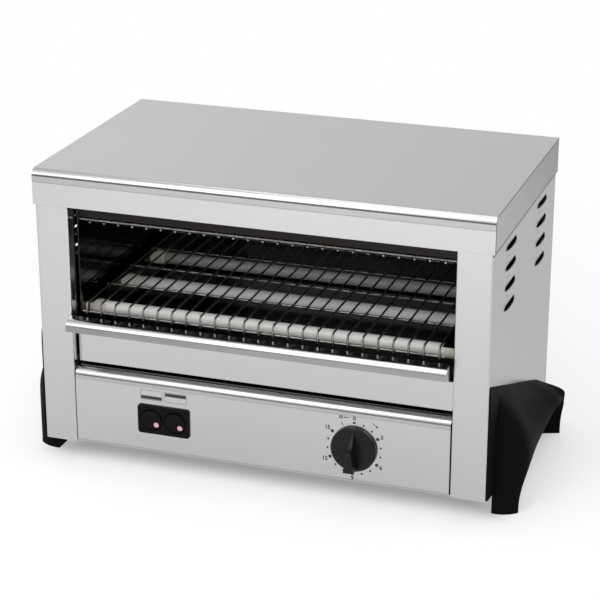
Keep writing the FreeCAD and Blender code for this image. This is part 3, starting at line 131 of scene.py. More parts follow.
class DialSizes(bpy.types.PropertyGroup):
    """Sizes of the printed dial and switch marks"""
    ring_radius: FloatProperty(
        name="Ring radius", description="Radius of the ring of dots", unit="LENGTH", subtype="DISTANCE",
        min=0.02, max=0.04, default=0.0265)
    number_radius: FloatProperty(
        name="Number radius", description="Radius on which the numbers stand", unit="LENGTH",
        subtype="DISTANCE", min=0.02, max=0.05, default=0.0311)
    number_height: FloatProperty(
        name="Number height", description="Height of the numbers", unit="LENGTH", subtype="DISTANCE",
        min=0.001, max=0.01, default=0.0040)
    large_dot: FloatProperty(
        name="Large dot", description="Radius of the dots beside numbers", unit="LENGTH",
        subtype="DISTANCE", min=0.0002, max=0.003, default=0.0017)
    small_dot: FloatProperty(
        name="Small dot", description="Radius of the dots between numbers", unit="LENGTH",
        subtype="DISTANCE", min=0.0002, max=0.003, default=0.00105)
    minutes: IntProperty(
        name="Minutes", description="Minutes on the dial", min=1, max=60, default=15)
    minute_angle: FloatProperty(
        name="Minute angle", description="Turn of the dial for one minute", subtype="ANGLE",
        min=0.1, max=1.0, default=math.radians(20.33))
    ink_thickness: FloatProperty(
        name="Ink thickness", description="How far the print stands proud of the panel", unit="LENGTH",
        subtype="DISTANCE", min=0.00001, max=0.0005, default=0.00006)


class CoilSizes(bpy.types.PropertyGroup):
    """Sizes of the heating wires inside the tubes"""
    wire_radius: FloatProperty(
        name="Wire radius", description="Radius of the heating wire", unit="LENGTH", subtype="DISTANCE",
        min=0.0001, max=0.001, default=0.00045)
    coil_radius: FloatProperty(
        name="Coil radius", description="Outer radius of the winding", unit="LENGTH", subtype="DISTANCE",
        min=0.001, max=0.005, default=0.0034)
    first_turns: IntProperty(
        name="First turns", description="Turns that are wound before the winding is doubled", min=1, max=20,
        default=5)
    doublings: IntProperty(
        name="Doublings", description="How often the first turns are doubled along the tube", min=0, max=7,
        default=5)
    tail_radius: FloatProperty(
        name="Tail radius", description="Radius of the straight ends", unit="LENGTH", subtype="DISTANCE",
        min=0.0005, max=0.002, default=0.0012)
    steps: IntProperty(
        name="Steps in a turn", description="Straight pieces in one turn", min=6, max=32, default=12)


class StageSizes(bpy.types.PropertyGroup):
    """Camera, lamps and floor"""
    camera_place: FloatVectorProperty(
        name="Camera place", description="Where the camera stands", unit="LENGTH", subtype="TRANSLATION",
        size=3, default=(0.59594, -1.74434, 0.86169))
    camera_turn: FloatProperty(
        name="Camera turn", description="Turn of the camera to the left of straight ahead",
        subtype="ANGLE", default=0.3297)
    camera_tilt: FloatProperty(
        name="Camera tilt", description="How far the camera looks down", subtype="ANGLE", default=0.3673)
    camera_lens: FloatProperty(
        name="Lens", description="Focal length on a 36 mm wide sensor, in millimetres", min=10, max=300,
        default=118.47)
    ambient: FloatProperty(
        name="Ambient level", description="Strength of the even light from all round", min=0, max=2,
        default=0.80)
    key_radiance: FloatProperty(
        name="Key lamp", description="Radiance of the tall softbox in front", min=0, max=20, default=1.6)
    top_radiance: FloatProperty(
        name="Top lamp", description="Radiance of the softbox overhead", min=0, max=20, default=0.95)
    fill_radiance: FloatProperty(
        name="Fill lamp", description="Radiance of the softbox on the right", min=0, max=20, default=3.4)
    low_radiance: FloatProperty(
        name="Low lamp", description="Radiance of the low softbox that lights the tubes", min=0, max=20,
        default=5.0)
    floor_glow: FloatProperty(
        name="Floor glow", description="Light that the floor adds for the camera", min=0, max=1,
        default=0.46)
    # Painted shadow: how much of the floor's glow is left beneath the body
    shadow_glow: FloatProperty(
        name="Glow in the shadow", description="Share of the floor's glow that is left beneath the body",
        min=0, max=1, default=0.25)
    # Painted shade in reflections: less floor glow near the part and behind it
    floor_near: FloatProperty(
        name="Floor gloss, near", description="Light that the floor adds in reflections close to the part",
        min=0, max=1, default=0.19)
    floor_far: FloatProperty(
        name="Floor gloss, far", description="Light that the floor adds in reflections further out",
        min=0, max=1, default=0.24)
    floor_behind: FloatProperty(
        name="Floor gloss, behind", description="Share of that light behind the part", min=0, max=1,
        default=0.5)
    floor_dimming: FloatProperty(
        name="Floor dimming", description="Share of its own tone lost in reflections far out", min=0, max=1,
        default=0.40)
    floor_horizon: FloatProperty(
        name="Floor gloss, horizon", description="Share of that light far out, towards the horizon", min=0,
        max=1, default=0.15)
    horizon_front: FloatProperty(
        name="Front horizon", description="Reflected backdrop behind the camera, near the horizon", min=0,
        max=1, default=0.42)
    sky_front: FloatProperty(
        name="Front sky", description="Reflected backdrop behind the camera, higher up", min=0, max=1,
        default=1.0)
    back_left: FloatProperty(
        name="Backdrop, left", description="Reflected backdrop behind the part, on the left", min=0, max=1,
        default=1.0)
    back_right: FloatProperty(
        name="Backdrop, right", description="Reflected backdrop behind the part, on the right", min=0,
        max=1, default=0.84)
    floor_radius: FloatProperty(
        name="Floor radius", description="Radius of the floor", unit="LENGTH", subtype="DISTANCE",
        min=1, max=50, default=12.0)


SETTINGS = {"grill_finish": FinishSizes, "grill_dial": DialSizes, "grill_coil": CoilSizes,
            "grill_stage": StageSizes}


# Helpers for materials

def tree_and_shader(material):
    """A material's node tree and its Principled shader."""
    return material.node_tree, material.node_tree.nodes["Principled BSDF"]


def new_material(name, colour, metallic, roughness):
    """A material with a Principled shader: returns the material, its node tree and the shader."""
    material = bpy.data.materials.new(name)
    material.use_nodes = True
    tree, shader = tree_and_shader(material)
    shader.inputs["Base Color"].default_value = (*colour, 1.0)
    shader.inputs["Metallic"].default_value = metallic
    shader.inputs["Roughness"].default_value = roughness
    return material, tree, shader


def add_node(tree, kind, **values):
    """A node of that kind, with its input sockets or settings set by name."""
    node = tree.nodes.new(kind)
    for name, value in values.items():
        socket = name.replace("_", " ")
        if socket in node.inputs:
            node.inputs[socket].default_value = value
        else:
            setattr(node, name, value)
    return node


def place_pattern(tree, scale=(1, 1, 1), turn=(0, 0, 0)):
    """Object coordinates, stretched by scale."""
    source = add_node(tree, "ShaderNodeTexCoord")
    mapping = add_node(tree, "ShaderNodeMapping", Scale=scale, Rotation=turn)
    tree.links.new(source.outputs["Object"], mapping.inputs["Vector"])
    return mapping.outputs["Vector"]


def noise(tree, scale, detail=3.0, roughness=0.5, stretch=(1, 1, 1)):
    """Noise from 0 to 1 that runs on through the object."""
    vector = place_pattern(tree, stretch)
    node = add_node(tree, "ShaderNodeTexNoise", Scale=scale, Detail=detail, Roughness=roughness)
    tree.links.new(vector, node.inputs["Vector"])
    return node.outputs["Fac"]


def remap(tree, value, low, high, from_low=0.0, from_high=1.0, ends="LINEAR"):
    """The value at from_low becomes low and at from_high high, and it stays there beyond."""
    node = add_node(tree, "ShaderNodeMapRange", From_Min=from_low, From_Max=from_high,
                    To_Min=low, To_Max=high, interpolation_type=ends)
    tree.links.new(value, node.inputs["Value"])
    return node.outputs["Result"]


def mix_values(tree, factor, first, second):
    """The first value where the factor is 0, the second where it is 1."""
    node = add_node(tree, "ShaderNodeMix", data_type="FLOAT")
    tree.links.new(factor, node.inputs[0])
    tree.links.new(first, node.inputs[2])
    tree.links.new(second, node.inputs[3])
    return node.outputs[0]


def blotched(tree, fine, coarse):
    """The fine pattern in some places and the coarse one in others, by the coarse one itself."""
    return mix_values(tree, coarse, fine, coarse)


def combine(tree, operation, first, second):
    """Two values joined by that operation."""
    node = add_node(tree, "ShaderNodeMath", operation=operation)
    tree.links.new(first, node.inputs[0])
    tree.links.new(second, node.inputs[1])
    return node.outputs[0]


def product(tree, first, second):
    return combine(tree, "MULTIPLY", first, second)


def larger(tree, first, second):
    return combine(tree, "MAXIMUM", first, second)


def soft_remap(tree, value, low, high, from_low, from_high):
    return remap(tree, value, low, high, from_low, from_high, "SMOOTHSTEP")


def mix_shaders(tree, factor, first, second):
    """The first shader where the factor is 0, the second where it is 1."""
    node = add_node(tree, "ShaderNodeMixShader")
    tree.links.new(factor, node.inputs[0])
    tree.links.new(first.outputs[0], node.inputs[1])
    tree.links.new(second.outputs[0], node.inputs[2])
    return node


def size_of(tree, value):
    """The value without its sign."""
    node = add_node(tree, "ShaderNodeMath", operation="ABSOLUTE")
    tree.links.new(value, node.inputs[0])
    return node.outputs[0]


def place_along(tree, axis):
    """The object coordinate along X, Y or Z, in metres."""
    place = add_node(tree, "ShaderNodeTexCoord")
    parts = add_node(tree, "ShaderNodeSeparateXYZ")
    tree.links.new(place.outputs["Object"], parts.inputs[0])
    return parts.outputs[axis]


def between(tree, value, low, high, soft=0.0003):
    """1 from low to high, falling to 0 over the soft length at both ends."""
    return product(tree, remap(tree, value, 0.0, 1.0, low - soft, low),
                   remap(tree, value, 1.0, 0.0, high, high + soft))


def stain(tree, shader, mask, share, colour=(0, 0, 0)):
    """Painted shade: draw the base colour towards another one where the mask is 1, by that share."""
    source = shader.inputs["Base Color"].links[0].from_socket
    mixed = add_node(tree, "ShaderNodeMix", data_type="RGBA")
    mixed.inputs[7].default_value = (*colour, 1.0)
    tree.links.new(source, mixed.inputs[6])
    tree.links.new(remap(tree, mask, 0.0, share), mixed.inputs[0])
    tree.links.new(mixed.outputs[2], shader.inputs["Base Color"])


def shade_between(tree, shader, value, dark, light):
    """Base colour that runs from dark to light with value."""
    ramp = add_node(tree, "ShaderNodeValToRGB")
    ramp.color_ramp.elements[0].color = (*dark, 1.0)
    ramp.color_ramp.elements[1].color = (*light, 1.0)
    tree.links.new(value, ramp.inputs["Fac"])
    tree.links.new(ramp.outputs["Color"], shader.inputs["Base Color"])


def roughen(tree, shader, value, smooth, rough, low=0.0, high=1.0):
    """Roughness that runs from smooth to rough as the value goes from low to high."""
    tree.links.new(remap(tree, value, smooth, rough, low, high), shader.inputs["Roughness"])


def bump(tree, shader, height, strength, distance):
    """Fine relief on the surface, as high as distance."""
    node = add_node(tree, "ShaderNodeBump", Strength=strength, Distance=distance)
    tree.links.new(height, node.inputs["Height"])
    tree.links.new(node.outputs["Normal"], shader.inputs["Normal"])


def scaled(colour, factor):
    """A lighter or darker tone of a colour."""
    return tuple(min(1.0, channel * factor) for channel in colour)


def side_mask(tree):
    """1 where a face looks along X, 0 elsewhere."""
    geometry = add_node(tree, "ShaderNodeNewGeometry")
    parts = add_node(tree, "ShaderNodeSeparateXYZ")
    tree.links.new(geometry.outputs["True Normal"], parts.inputs["Vector"])
    step = add_node(tree, "ShaderNodeMath", operation="GREATER_THAN")
    step.inputs[1].default_value = SIDEWAYS
    tree.links.new(size_of(tree, parts.outputs["X"]), step.inputs[0])
    return step.outputs[0]


def brushed_steel(name, colour, grain_pitch, roughness, along="X"):
    """Stainless sheet brushed along X, and along Z where the sheet is folded to face sideways."""
    material, tree, shader = new_material(name, colour, 1.0, roughness)
    fine = 1.0 / grain_pitch
    along_x = noise(tree, fine, 2.0, 0.6, BRUSH_ALONG_X)
    along_z = noise(tree, fine, 2.0, 0.6, BRUSH_ALONG_Z)
    grain = along_z if along == "Z" else mix_values(tree, side_mask(tree), along_x, along_z)
    cloud = noise(tree, 5.0, 2.0, 0.5)
    tone = mix_values(tree, remap(tree, cloud, 0.35, 0.65), grain, cloud)
    shade_between(tree, shader, remap(tree, tone, 0.0, 1.0, 0.25, 0.75),
                  scaled(colour, 0.97), scaled(colour, 1.03))
    roughen(tree, shader, grain, roughness - 0.03, roughness + 0.04, 0.25, 0.75)
    bump(tree, shader, grain, 0.06, 0.00003)
    return material


def shaded_lid(material, seams):
    """Lid: painted shade along the folds and hems of its sides, painted dark bands below the front bend for
    a darker reflection there, and painted shade on the sides that deepens to the rear.
    """
    tree, shader = tree_and_shader(material)
    low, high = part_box("lid")
    along_y, along_z, side = place_along(tree, "Y"), place_along(tree, "Z"), side_mask(tree)
    shade_front, shade_rear = 0.10, 0.42
    top_edge, bottom_edge, front_edge, front_depth = 0.0018, 0.0013, 0.0034, 0.0012
    fold_band, fold_upper_line, fold_lower_line = (0.0056, 0.0124), (0.0056, 0.0066), (0.0124, 0.0129)
    # Painted shade: the sides darken towards the rear, as if they faced away from the light
    fall = remap(tree, along_y, shade_front, shade_rear, low.y, high.y)
    stain(tree, shader, product(tree, side, fall), 1.0)
    # Painted shade along the top fold and lower hem of the sides, and down their front corner
    for start, end in ((high.z - top_edge, high.z), (low.z, low.z + bottom_edge)):
        stain(tree, shader, product(tree, side, between(tree, along_z, start, end)), seams)
    stain(tree, shader, product(tree, side, between(tree, along_y, low.y, low.y + front_edge)), seams)
    # Painted reflection: dark bands below the front bend, where the bend would mirror a darker part of the
    # room
    front = between(tree, along_y, low.y, low.y + front_depth)
    for (start, end), share in ((fold_band, 0.20), (fold_upper_line, 0.4), (fold_lower_line, 0.3)):
        line = between(tree, along_z, high.z - end, high.z - start)
        stain(tree, shader, product(tree, front, line), share)


def shaded_upright(material, seams):
    """Side panels: a painted shade line just below the lid's skirt, where they run in under it."""
    tree, shader = tree_and_shader(material)
    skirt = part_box("lid")[0].z
    side_line, front_line, front_share = 0.0028, 0.0006, 0.4
    along_z, side = place_along(tree, "Z"), side_mask(tree)
    # Painted shade: contact shade under the skirt's hem, on the sides and more faintly on the front
    stain(tree, shader, product(tree, side, between(tree, along_z, skirt - side_line, skirt)), seams)
    stain(tree, shader, between(tree, along_z, skirt - front_line, skirt), seams * front_share)


def shaded_panel(material):
    """Control panel: painted shade along its bottom edge, and painted shade in the lower half of its top
    fold that tones down the fold's reflection.
    """
    tree, shader = tree_and_shader(material)
    low, top = PANEL_LOW.z, PANEL_HIGH.z
    bottom_edge, shaded_band, dark_line = 0.0014, (0.0108, 0.0050), (0.0068, 0.0048)
    along_z = place_along(tree, "Z")
    # Painted shade along the bottom edge, in the gap above the floor
    stain(tree, shader, between(tree, along_z, low, low + bottom_edge), 0.35)
    # Painted shade in the lower half of the top fold, where its reflection would be darker
    stain(tree, shader, between(tree, along_z, top - shaded_band[0], top - shaded_band[1], 0.0006), 0.20)
    stain(tree, shader, between(tree, along_z, top - dark_line[0], top - dark_line[1], 0.0004), 0.28)


def browned_tray(material, share):
    """Crumb tray: near black behind its front plate, heat browning deepened by painted shade of the cooking
    space.
    """
    tree, shader = tree_and_shader(material)
    clean_until, brown_from = PANEL_LOW.y + 0.011, PANEL_LOW.y + 0.019
    inside = remap(tree, place_along(tree, "Y"), 0.0, 1.0, clean_until, brown_from)
    stain(tree, shader, inside, share, TRAY_BROWN_AND_SHADE)


def polished_steel(name, colour, roughness):
    """Smooth liner sheet with faint waves, heat haze and smudges."""
    material, tree, shader = new_material(name, colour, 1.0, roughness)
    haze = noise(tree, 7.0, 4.0, 0.6)
    smudge = noise(tree, 60.0, 4.0, 0.65)
    shade_between(tree, shader, remap(tree, haze, 0.0, 1.0, 0.3, 0.7),
                  (colour[0] * 0.72, colour[1] * 0.69, colour[2] * 0.63), scaled(colour, 1.06))
    roughen(tree, shader, smudge, roughness * 0.8, roughness * 1.5, 0.3, 0.7)
    wave = noise(tree, 9.0, 1.0, 0.4)
    bump(tree, shader, wave, 0.2, 0.0002)
    return material


def heat_darkened_steel(name, colour):
    """Strip that stands next to the upper tubes: browned and brushed lengthwise."""
    material, tree, shader = new_material(name, colour, 1.0, 0.35)
    streak = noise(tree, 900.0, 3.0, 0.65, (0.02, 1, 1))
    patch = noise(tree, 22.0, 4.0, 0.6, (0.4, 1, 1))
    shade_between(tree, shader, blotched(tree, streak, patch),
                  (colour[0] * 0.55, colour[1] * 0.5, colour[2] * 0.45), scaled(colour, 1.5))
    roughen(tree, shader, streak, 0.24, 0.5, 0.25, 0.75)
    bump(tree, shader, streak, 0.15, 0.00005)
    return material


def bright_wire(name, colour):
    """Drawn and plated wire with faint dark scale."""
    material, tree, shader = new_material(name, colour, 1.0, 0.22)
    scale_spots = noise(tree, 160.0, 5.0, 0.65)
    shade_between(tree, shader, remap(tree, scale_spots, 0.0, 1.0, 0.32, 0.62),
                  (colour[0] * 0.45, colour[1] * 0.42, colour[2] * 0.38), scaled(colour, 1.08))
    roughen(tree, shader, scale_spots, 0.40, 0.24, 0.3, 0.65)
    bump(tree, shader, scale_spots, 0.12, 0.00005)
    return material


def milky_quartz(name, colour):
    """Fused quartz with fine drawn lines along the tube and a cloudy body, with painted shade that deepens
    to the rear.
    """
    material, tree, shader = new_material(name, colour, 0.0, 0.30)
    drawn = noise(tree, 1100.0, 3.0, 0.6, (0.01, 1, 1))
    cloudy = noise(tree, 45.0, 4.0, 0.6, (0.5, 1, 1))
    shade_between(tree, shader, blotched(tree, drawn, cloudy),
                  scaled(colour, 0.82), scaled(colour, 1.12))
    roughen(tree, shader, drawn, 0.24, 0.40, 0.25, 0.75)
    # Painted shade: the rear tubes darker, as if less light reached them
    start, end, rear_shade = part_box("lower_tube_front")[1].y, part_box("lower_tube_rear")[1].y, 0.62
    stain(tree, shader, remap(tree, place_along(tree, "Y"), 0.0, 1.0, start, end), rear_shade)
    shader.inputs["Transmission Weight"].default_value = 0.10
    shader.inputs["IOR"].default_value = 1.46
    bump(tree, shader, drawn, 0.2, 0.00004)
    return material


def fired_ceramic(name, colour):
    """Matt steatite with a fine grain and darker heat specks."""
    material, tree, shader = new_material(name, colour, 0.0, 0.55)
    grain = noise(tree, 1400.0, 4.0, 0.6)
    blotch = noise(tree, 90.0, 3.0, 0.6)
    shade_between(tree, shader, blotched(tree, grain, blotch),
                  (colour[0] * 0.78, colour[1] * 0.74, colour[2] * 0.66), scaled(colour, 1.08))
    roughen(tree, shader, grain, 0.45, 0.7)
    bump(tree, shader, grain, 0.3, 0.00005)
    return material


def moulded_plastic(name, colour, roughness, texture_size, depth, shine=0.06):
    """Moulding with the fine leather grain of its mould."""
    material, tree, shader = new_material(name, colour, 0.0, roughness)
    cells = add_node(tree, "ShaderNodeTexVoronoi", Scale=1.0 / texture_size, feature="SMOOTH_F1")
    cells.inputs["Smoothness"].default_value = 0.6
    tree.links.new(place_pattern(tree), cells.inputs["Vector"])
    fine = noise(tree, 2.2 / texture_size, 3.0, 0.6)
    grain = blotched(tree, cells.outputs["Distance"], fine)
    wear = noise(tree, 14.0, 4.0, 0.6)
    shade_between(tree, shader, blotched(tree, grain, wear),
                  scaled(colour, 0.8), scaled(colour, 1.7))
    roughen(tree, shader, wear, roughness - 0.06, roughness + 0.08, 0.3, 0.7)
    shader.inputs["Specular IOR Level"].default_value = shine
    bump(tree, shader, grain, 0.35, depth)
    return material


def lamp_lens(name, colour):
    """Milky pink lens, a little see-through."""
    material, tree, shader = new_material(name, colour, 0.0, 0.18)
    cloudy = noise(tree, 700.0, 3.0, 0.6)
    shade_between(tree, shader, cloudy, scaled(colour, 0.75),
                  (min(1.0, colour[0] * 1.2), colour[1] * 1.7, colour[2] * 1.6))
    roughen(tree, shader, cloudy, 0.10, 0.28)
    shader.inputs["Transmission Weight"].default_value = 0.2
    shader.inputs["Coat Weight"].default_value = 0.6
    shader.inputs["Coat Roughness"].default_value = 0.08
    bump(tree, shader, cloudy, 0.08, 0.00003)
    return material


def small_metal(name, colour, roughness):
    """Plated screws, brass terminals and other small metal pieces with fine turning marks."""
    material, tree, shader = new_material(name, colour, 1.0, roughness)
    marks = noise(tree, 900.0, 4.0, 0.65)
    tarnish = noise(tree, 120.0, 3.0, 0.6)
    shade_between(tree, shader, blotched(tree, marks, tarnish),
                  scaled(colour, 0.7), scaled(colour, 1.15))
    roughen(tree, shader, marks, roughness - 0.08, roughness + 0.12, 0.3, 0.7)
    bump(tree, shader, marks, 0.2, 0.00004)
    return material


def soft_cover(name, colour):
    """Braided silicone cover of the inner leads."""
    material, tree, shader = new_material(name, colour, 0.0, 0.6)
    cells = add_node(tree, "ShaderNodeTexVoronoi", Scale=1600.0)
    tree.links.new(place_pattern(tree, turn=(0.6, 0.5, 0.7)), cells.inputs["Vector"])
    dust = noise(tree, 80.0, 3.0, 0.6)
    shade_between(tree, shader, blotched(tree, cells.outputs["Distance"], dust),
                  scaled(colour, 0.8), scaled(colour, 1.2))
    roughen(tree, shader, dust, 0.5, 0.75)
    bump(tree, shader, cells.outputs["Distance"], 0.4, 0.0001)
    return material


def printed_ink(name):
    """Screen-printed black ink, slightly uneven."""
    material, tree, shader = new_material(name, INK, 0.0, 0.5)
    speckle = noise(tree, 2500.0, 3.0, 0.6)
    shade_between(tree, shader, speckle, (0.008, 0.008, 0.009), (0.04, 0.04, 0.042))
    roughen(tree, shader, speckle, 0.4, 0.65)
    bump(tree, shader, speckle, 0.1, 0.00002)
    return material


def dress(names, material):
    """Give the material to every slot of these nodes."""
    for name in names:
        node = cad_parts[name]
        if not node.material_slots:
            node.data.materials.append(material)
        for slot in node.material_slots:
            slot.material = material


# Helpers for pieces

def new_piece(name, mesh, material, body):
    """A finished piece at the origin that rides on a body."""
    piece = bpy.data.objects.new(name, mesh)
    bpy.context.scene.collection.objects.link(piece)
    piece.data.materials.clear()
    piece.data.materials.append(material)
    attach(piece, body)
    return piece


def mesh_from(bm, name):
    """Merge doubles, turn the faces outwards and store the mesh."""
    bmesh.ops.remove_doubles(bm, verts=bm.verts, dist=1e-7)
    bmesh.ops.recalc_face_normals(bm, faces=bm.faces)
    mesh = bpy.data.meshes.new(name)
    bm.to_mesh(mesh)
    bm.free()
    return mesh


def on_panel(x, z, depth=0.0):
    """Turns a flat shape drawn in XY to stand on the control panel's face, centred on (x, z)."""
    turn = Matrix.Rotation(math.radians(90), 4, "X")
    return Matrix.Translation((x, PANEL_LOW.y - depth, z)) @ turn


def thicken(bm, verts, thickness, place):
    """Give the flat shape of these vertices its thickness and move it to its place."""
    faces = list({face for vert in verts for face in vert.link_faces})
    thick = bmesh.ops.extrude_face_region(bm, geom=faces)
    moved = [part for part in thick["geom"] if isinstance(part, bmesh.types.BMVert)]
    bmesh.ops.translate(bm, verts=moved, vec=(0, 0, thickness))
    bmesh.ops.transform(bm, matrix=place, verts=verts + moved)


def printed_disc(bm, x, z, radius, thickness, segments=20):
    """Round dot centred on (x, z)."""
    dot = bmesh.ops.create_circle(bm, cap_ends=True, radius=radius, segments=segments)["verts"]
    thicken(bm, dot, thickness, on_panel(x, z))


def printed_bar(bm, x, z, width, height, thickness, turn=0.0):
    """Filled rectangle centred on (x, z), turned clockwise by turn."""
    bar = bmesh.ops.create_grid(bm, x_segments=1, y_segments=1, size=0.5)["verts"]
    bmesh.ops.scale(bm, verts=bar, vec=(width, height, 1))
    bmesh.ops.rotate(bm, verts=bar, matrix=Matrix.Rotation(-turn, 3, "Z"), cent=(0, 0, 0))
    thicken(bm, bar, thickness, on_panel(x, z))


def printed_arrow_head(bm, x, z, turn, size, thickness):
    """Filled triangle that points along the clockwise direction turn, 0 being up."""
    head = bmesh.ops.create_circle(bm, cap_ends=True, radius=size, segments=3)["verts"]
    bmesh.ops.rotate(bm, verts=head, matrix=Matrix.Rotation(-turn, 3, "Z"), cent=(0, 0, 0))
    thicken(bm, head, thickness, on_panel(x, z))


def printed_frame(bm, x, z, width, height, line, thickness):
    """Thin rectangular outline centred on (x, z)."""
    for side in (-1, 1):
        printed_bar(bm, x + side * (width - line) / 2, z, line, height, thickness)
        printed_bar(bm, x, z + side * (height - line) / 2, width - 2 * line, line, thickness)


def around_dial(radius, angle):
    """Point on the panel at that clockwise angle from the top of the dial."""
    return DIAL_CENTRE.x + radius * math.sin(angle), DIAL_CENTRE.z + radius * math.cos(angle)


def printed_number(text, x, z, height, thickness):
    """Mesh of a number that stands upright on the panel."""
    height_share, boldness = 0.72, 0.045
    curve = bpy.data.curves.new("number_" + text, "FONT")
    curve.body = text
    curve.size = height / height_share
    curve.extrude = thickness / 2
    curve.align_x = "CENTER"
    curve.align_y = "CENTER"
    curve.offset = height * boldness
    curve.space_character = 0.98
    curve.resolution_u = 3
    holder = bpy.data.objects.new("number_" + text, curve)
    mesh = bpy.data.meshes.new_from_object(holder)
    bpy.data.objects.remove(holder)
    mesh.transform(on_panel(x, z, thickness / 2))
    return mesh


# Operators

class GRILL_OT_steel_sheets(bpy.types.Operator):
    """Give the outer sheets, the crumb tray and the liner their steel"""
    bl_idname = "grill.steel_sheets"
    bl_label = "Steel sheets"

    def execute(self, context):
        finish = context.scene.grill_finish
        pitch, outer_roughness, tray_roughness, liner_roughness = finish.grain_pitch, 0.21, 0.17, 0.09
        outer = brushed_steel("brushed_stainless", finish.steel, pitch, outer_roughness)
        upright = brushed_steel("upright_brushed_stainless", finish.steel, pitch, outer_roughness, "Z")
        tray = brushed_steel("tray_stainless", scaled(finish.steel, 0.99), pitch, tray_roughness)
        liner = polished_steel("polished_liner", finish.liner, liner_roughness)
        strip = heat_darkened_steel("browned_strip", BROWNED_STRIP)
        lid = brushed_steel("lid_stainless", finish.steel, pitch, outer_roughness)
        panel = brushed_steel("panel_stainless", finish.steel, pitch, outer_roughness)
        shaded_lid(lid, finish.seams)
        shaded_upright(upright, finish.seams)
        shaded_panel(panel)
        browned_tray(tray, finish.browning)
        dress(("lid",), lid)
        dress(("control_panel",), panel)
        dress(STEEL_SHEETS, outer)
        dress(("side_panel_left", "side_panel_right"), upright)
        dress(("crumb_tray",), tray)
        dress(LINER_SHEETS + RAILS, liner)
        dress(("front_baffle",), strip)
        return {"FINISHED"}


class GRILL_OT_wire_grilles(bpy.types.Operator):
    """Give the cooking rack and the upper guard their bright wire"""
    bl_idname = "grill.wire_grilles"
    bl_label = "Wire grilles"

    def execute(self, context):
        dress(WIRE_GRILLES, bright_wire("bright_wire", context.scene.grill_finish.wire))
        return {"FINISHED"}


class GRILL_OT_heating_tubes(bpy.types.Operator):
    """Give the heating tubes their milky quartz and the caps their ceramic"""
    bl_idname = "grill.heating_tubes"
    bl_label = "Heating tubes"

    def execute(self, context):
        finish = context.scene.grill_finish
        dress(QUARTZ_TUBES, milky_quartz("milky_quartz", finish.quartz))
        dress(CERAMIC_CAPS, fired_ceramic("fired_ceramic", finish.ceramic))
        return {"FINISHED"}


class GRILL_OT_heating_wires(bpy.types.Operator):
    """Wind the heating wire of each tube in place of its plain rod"""
    bl_idname = "grill.heating_wires"
    bl_label = "Heating wires"

    def execute(self, context):
        sizes = context.scene.grill_coil
        metal = small_metal("heating_wire", COIL_METAL, 0.4)
        for row in ("lower", "upper"):
            node = row + "_heating_coils"
            low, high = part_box(node)
            bm = bmesh.new()
            for tube in ("front", "middle", "rear"):
                tube_low, tube_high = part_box(f"{row}_tube_{tube}")
                centre = (tube_low + tube_high) / 2
                self.wind(bm, centre, tube_low.x, tube_high.x, low.x, high.x, sizes)
            piece = new_piece(row + "_heating_wires", mesh_from(bm, node), metal, "cabinet")
            for face in piece.data.polygons:
                face.use_smooth = True
            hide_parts(node)
        return {"FINISHED"}

    def wind(self, bm, centre, start, end, tail_start, tail_end, sizes):
        """One winding along X, made by doubling its first turns, with a straight tail at each end."""
        wire_sides, tail_sides = 5, 12
        steps = sizes.first_turns * sizes.steps
        length = (end - start) / 2 ** sizes.doublings
        ring = bmesh.ops.create_circle(
            bm, cap_ends=False, radius=sizes.wire_radius, segments=wire_sides)["verts"]
        middle = sizes.coil_radius - sizes.wire_radius
        bmesh.ops.translate(bm, verts=ring, vec=(start, centre.y + middle, centre.z))
        edges = list({edge for vert in ring for edge in vert.link_edges})
        old = set(bm.verts) - set(ring)
        bmesh.ops.spin(bm, geom=ring + edges, cent=(start, centre.y, centre.z), axis=(1, 0, 0),
                       dvec=(length / steps, 0, 0), angle=sizes.first_turns * 2 * math.pi, steps=steps,
                       use_merge=False, use_duplicate=False)
        for doubling in range(sizes.doublings):
            wound = [vert for vert in bm.verts if vert not in old]
            parts = wound + list({edge for vert in wound for edge in vert.link_edges})
            parts += list({face for vert in wound for face in vert.link_faces})
            copied = bmesh.ops.duplicate(bm, geom=parts)["geom"]
            verts = [part for part in copied if isinstance(part, bmesh.types.BMVert)]
            bmesh.ops.translate(bm, verts=verts, vec=(length * 2 ** doubling, 0, 0))
        for first, last in ((tail_start, start), (end, tail_end)):
            turn = Matrix.Rotation(math.radians(90), 4, "Y")
            place = Matrix.Translation(((first + last) / 2, centre.y, centre.z)) @ turn
            bmesh.ops.create_cone(
                bm, cap_ends=True, cap_tris=False, segments=tail_sides, radius1=sizes.tail_radius,
                radius2=sizes.tail_radius, depth=last - first, matrix=place)


class GRILL_OT_mouldings(bpy.types.Operator):
    """Give the feet, the knob, the switch and the inner plastic pieces their moulded finish"""
    bl_idname = "grill.mouldings"
    bl_label = "Mouldings"

    def execute(self, context):
        finish = context.scene.grill_finish
        black = finish.black_plastic
        dress(FEET, moulded_plastic("foot_plastic", black, 0.44, 0.0009, 0.00004, shine=0.015))
        dress(("timer_knob",), moulded_plastic("knob_plastic", black, 0.28, 0.0007, 0.00003, shine=0.25))
        dress(SWITCH_PARTS, moulded_plastic("switch_plastic", black, 0.36, 0.0006, 0.00003))
        dress(("cable_gland",), moulded_plastic("gland_plastic", GLAND_PLASTIC, 0.5, 0.0008, 0.00004))
        dress(("terminal_block", "timer_body"),
              moulded_plastic("inner_plastic", INNER_PLASTIC, 0.5, 0.0012, 0.00004))
        dress(LENSES, lamp_lens("lamp_lens", finish.lens))
        return {"FINISHED"}


class GRILL_OT_fittings(bpy.types.Operator):
    """Give the screws, terminals, leads and the timer shaft their finishes"""
    bl_idname = "grill.fittings"
    bl_label = "Fittings"

    def execute(self, context):
        dress(SCREWS, small_metal("screw_steel", SCREW_STEEL, 0.28))
        dress(("timer_shaft",), small_metal("shaft_steel", SHAFT_STEEL, 0.32))
        dress(BRASS_PARTS, small_metal("terminal_brass", BRASS, 0.35))
        dress(LEADS, soft_cover("lead_cover", INNER_PLASTIC))
        return {"FINISHED"}


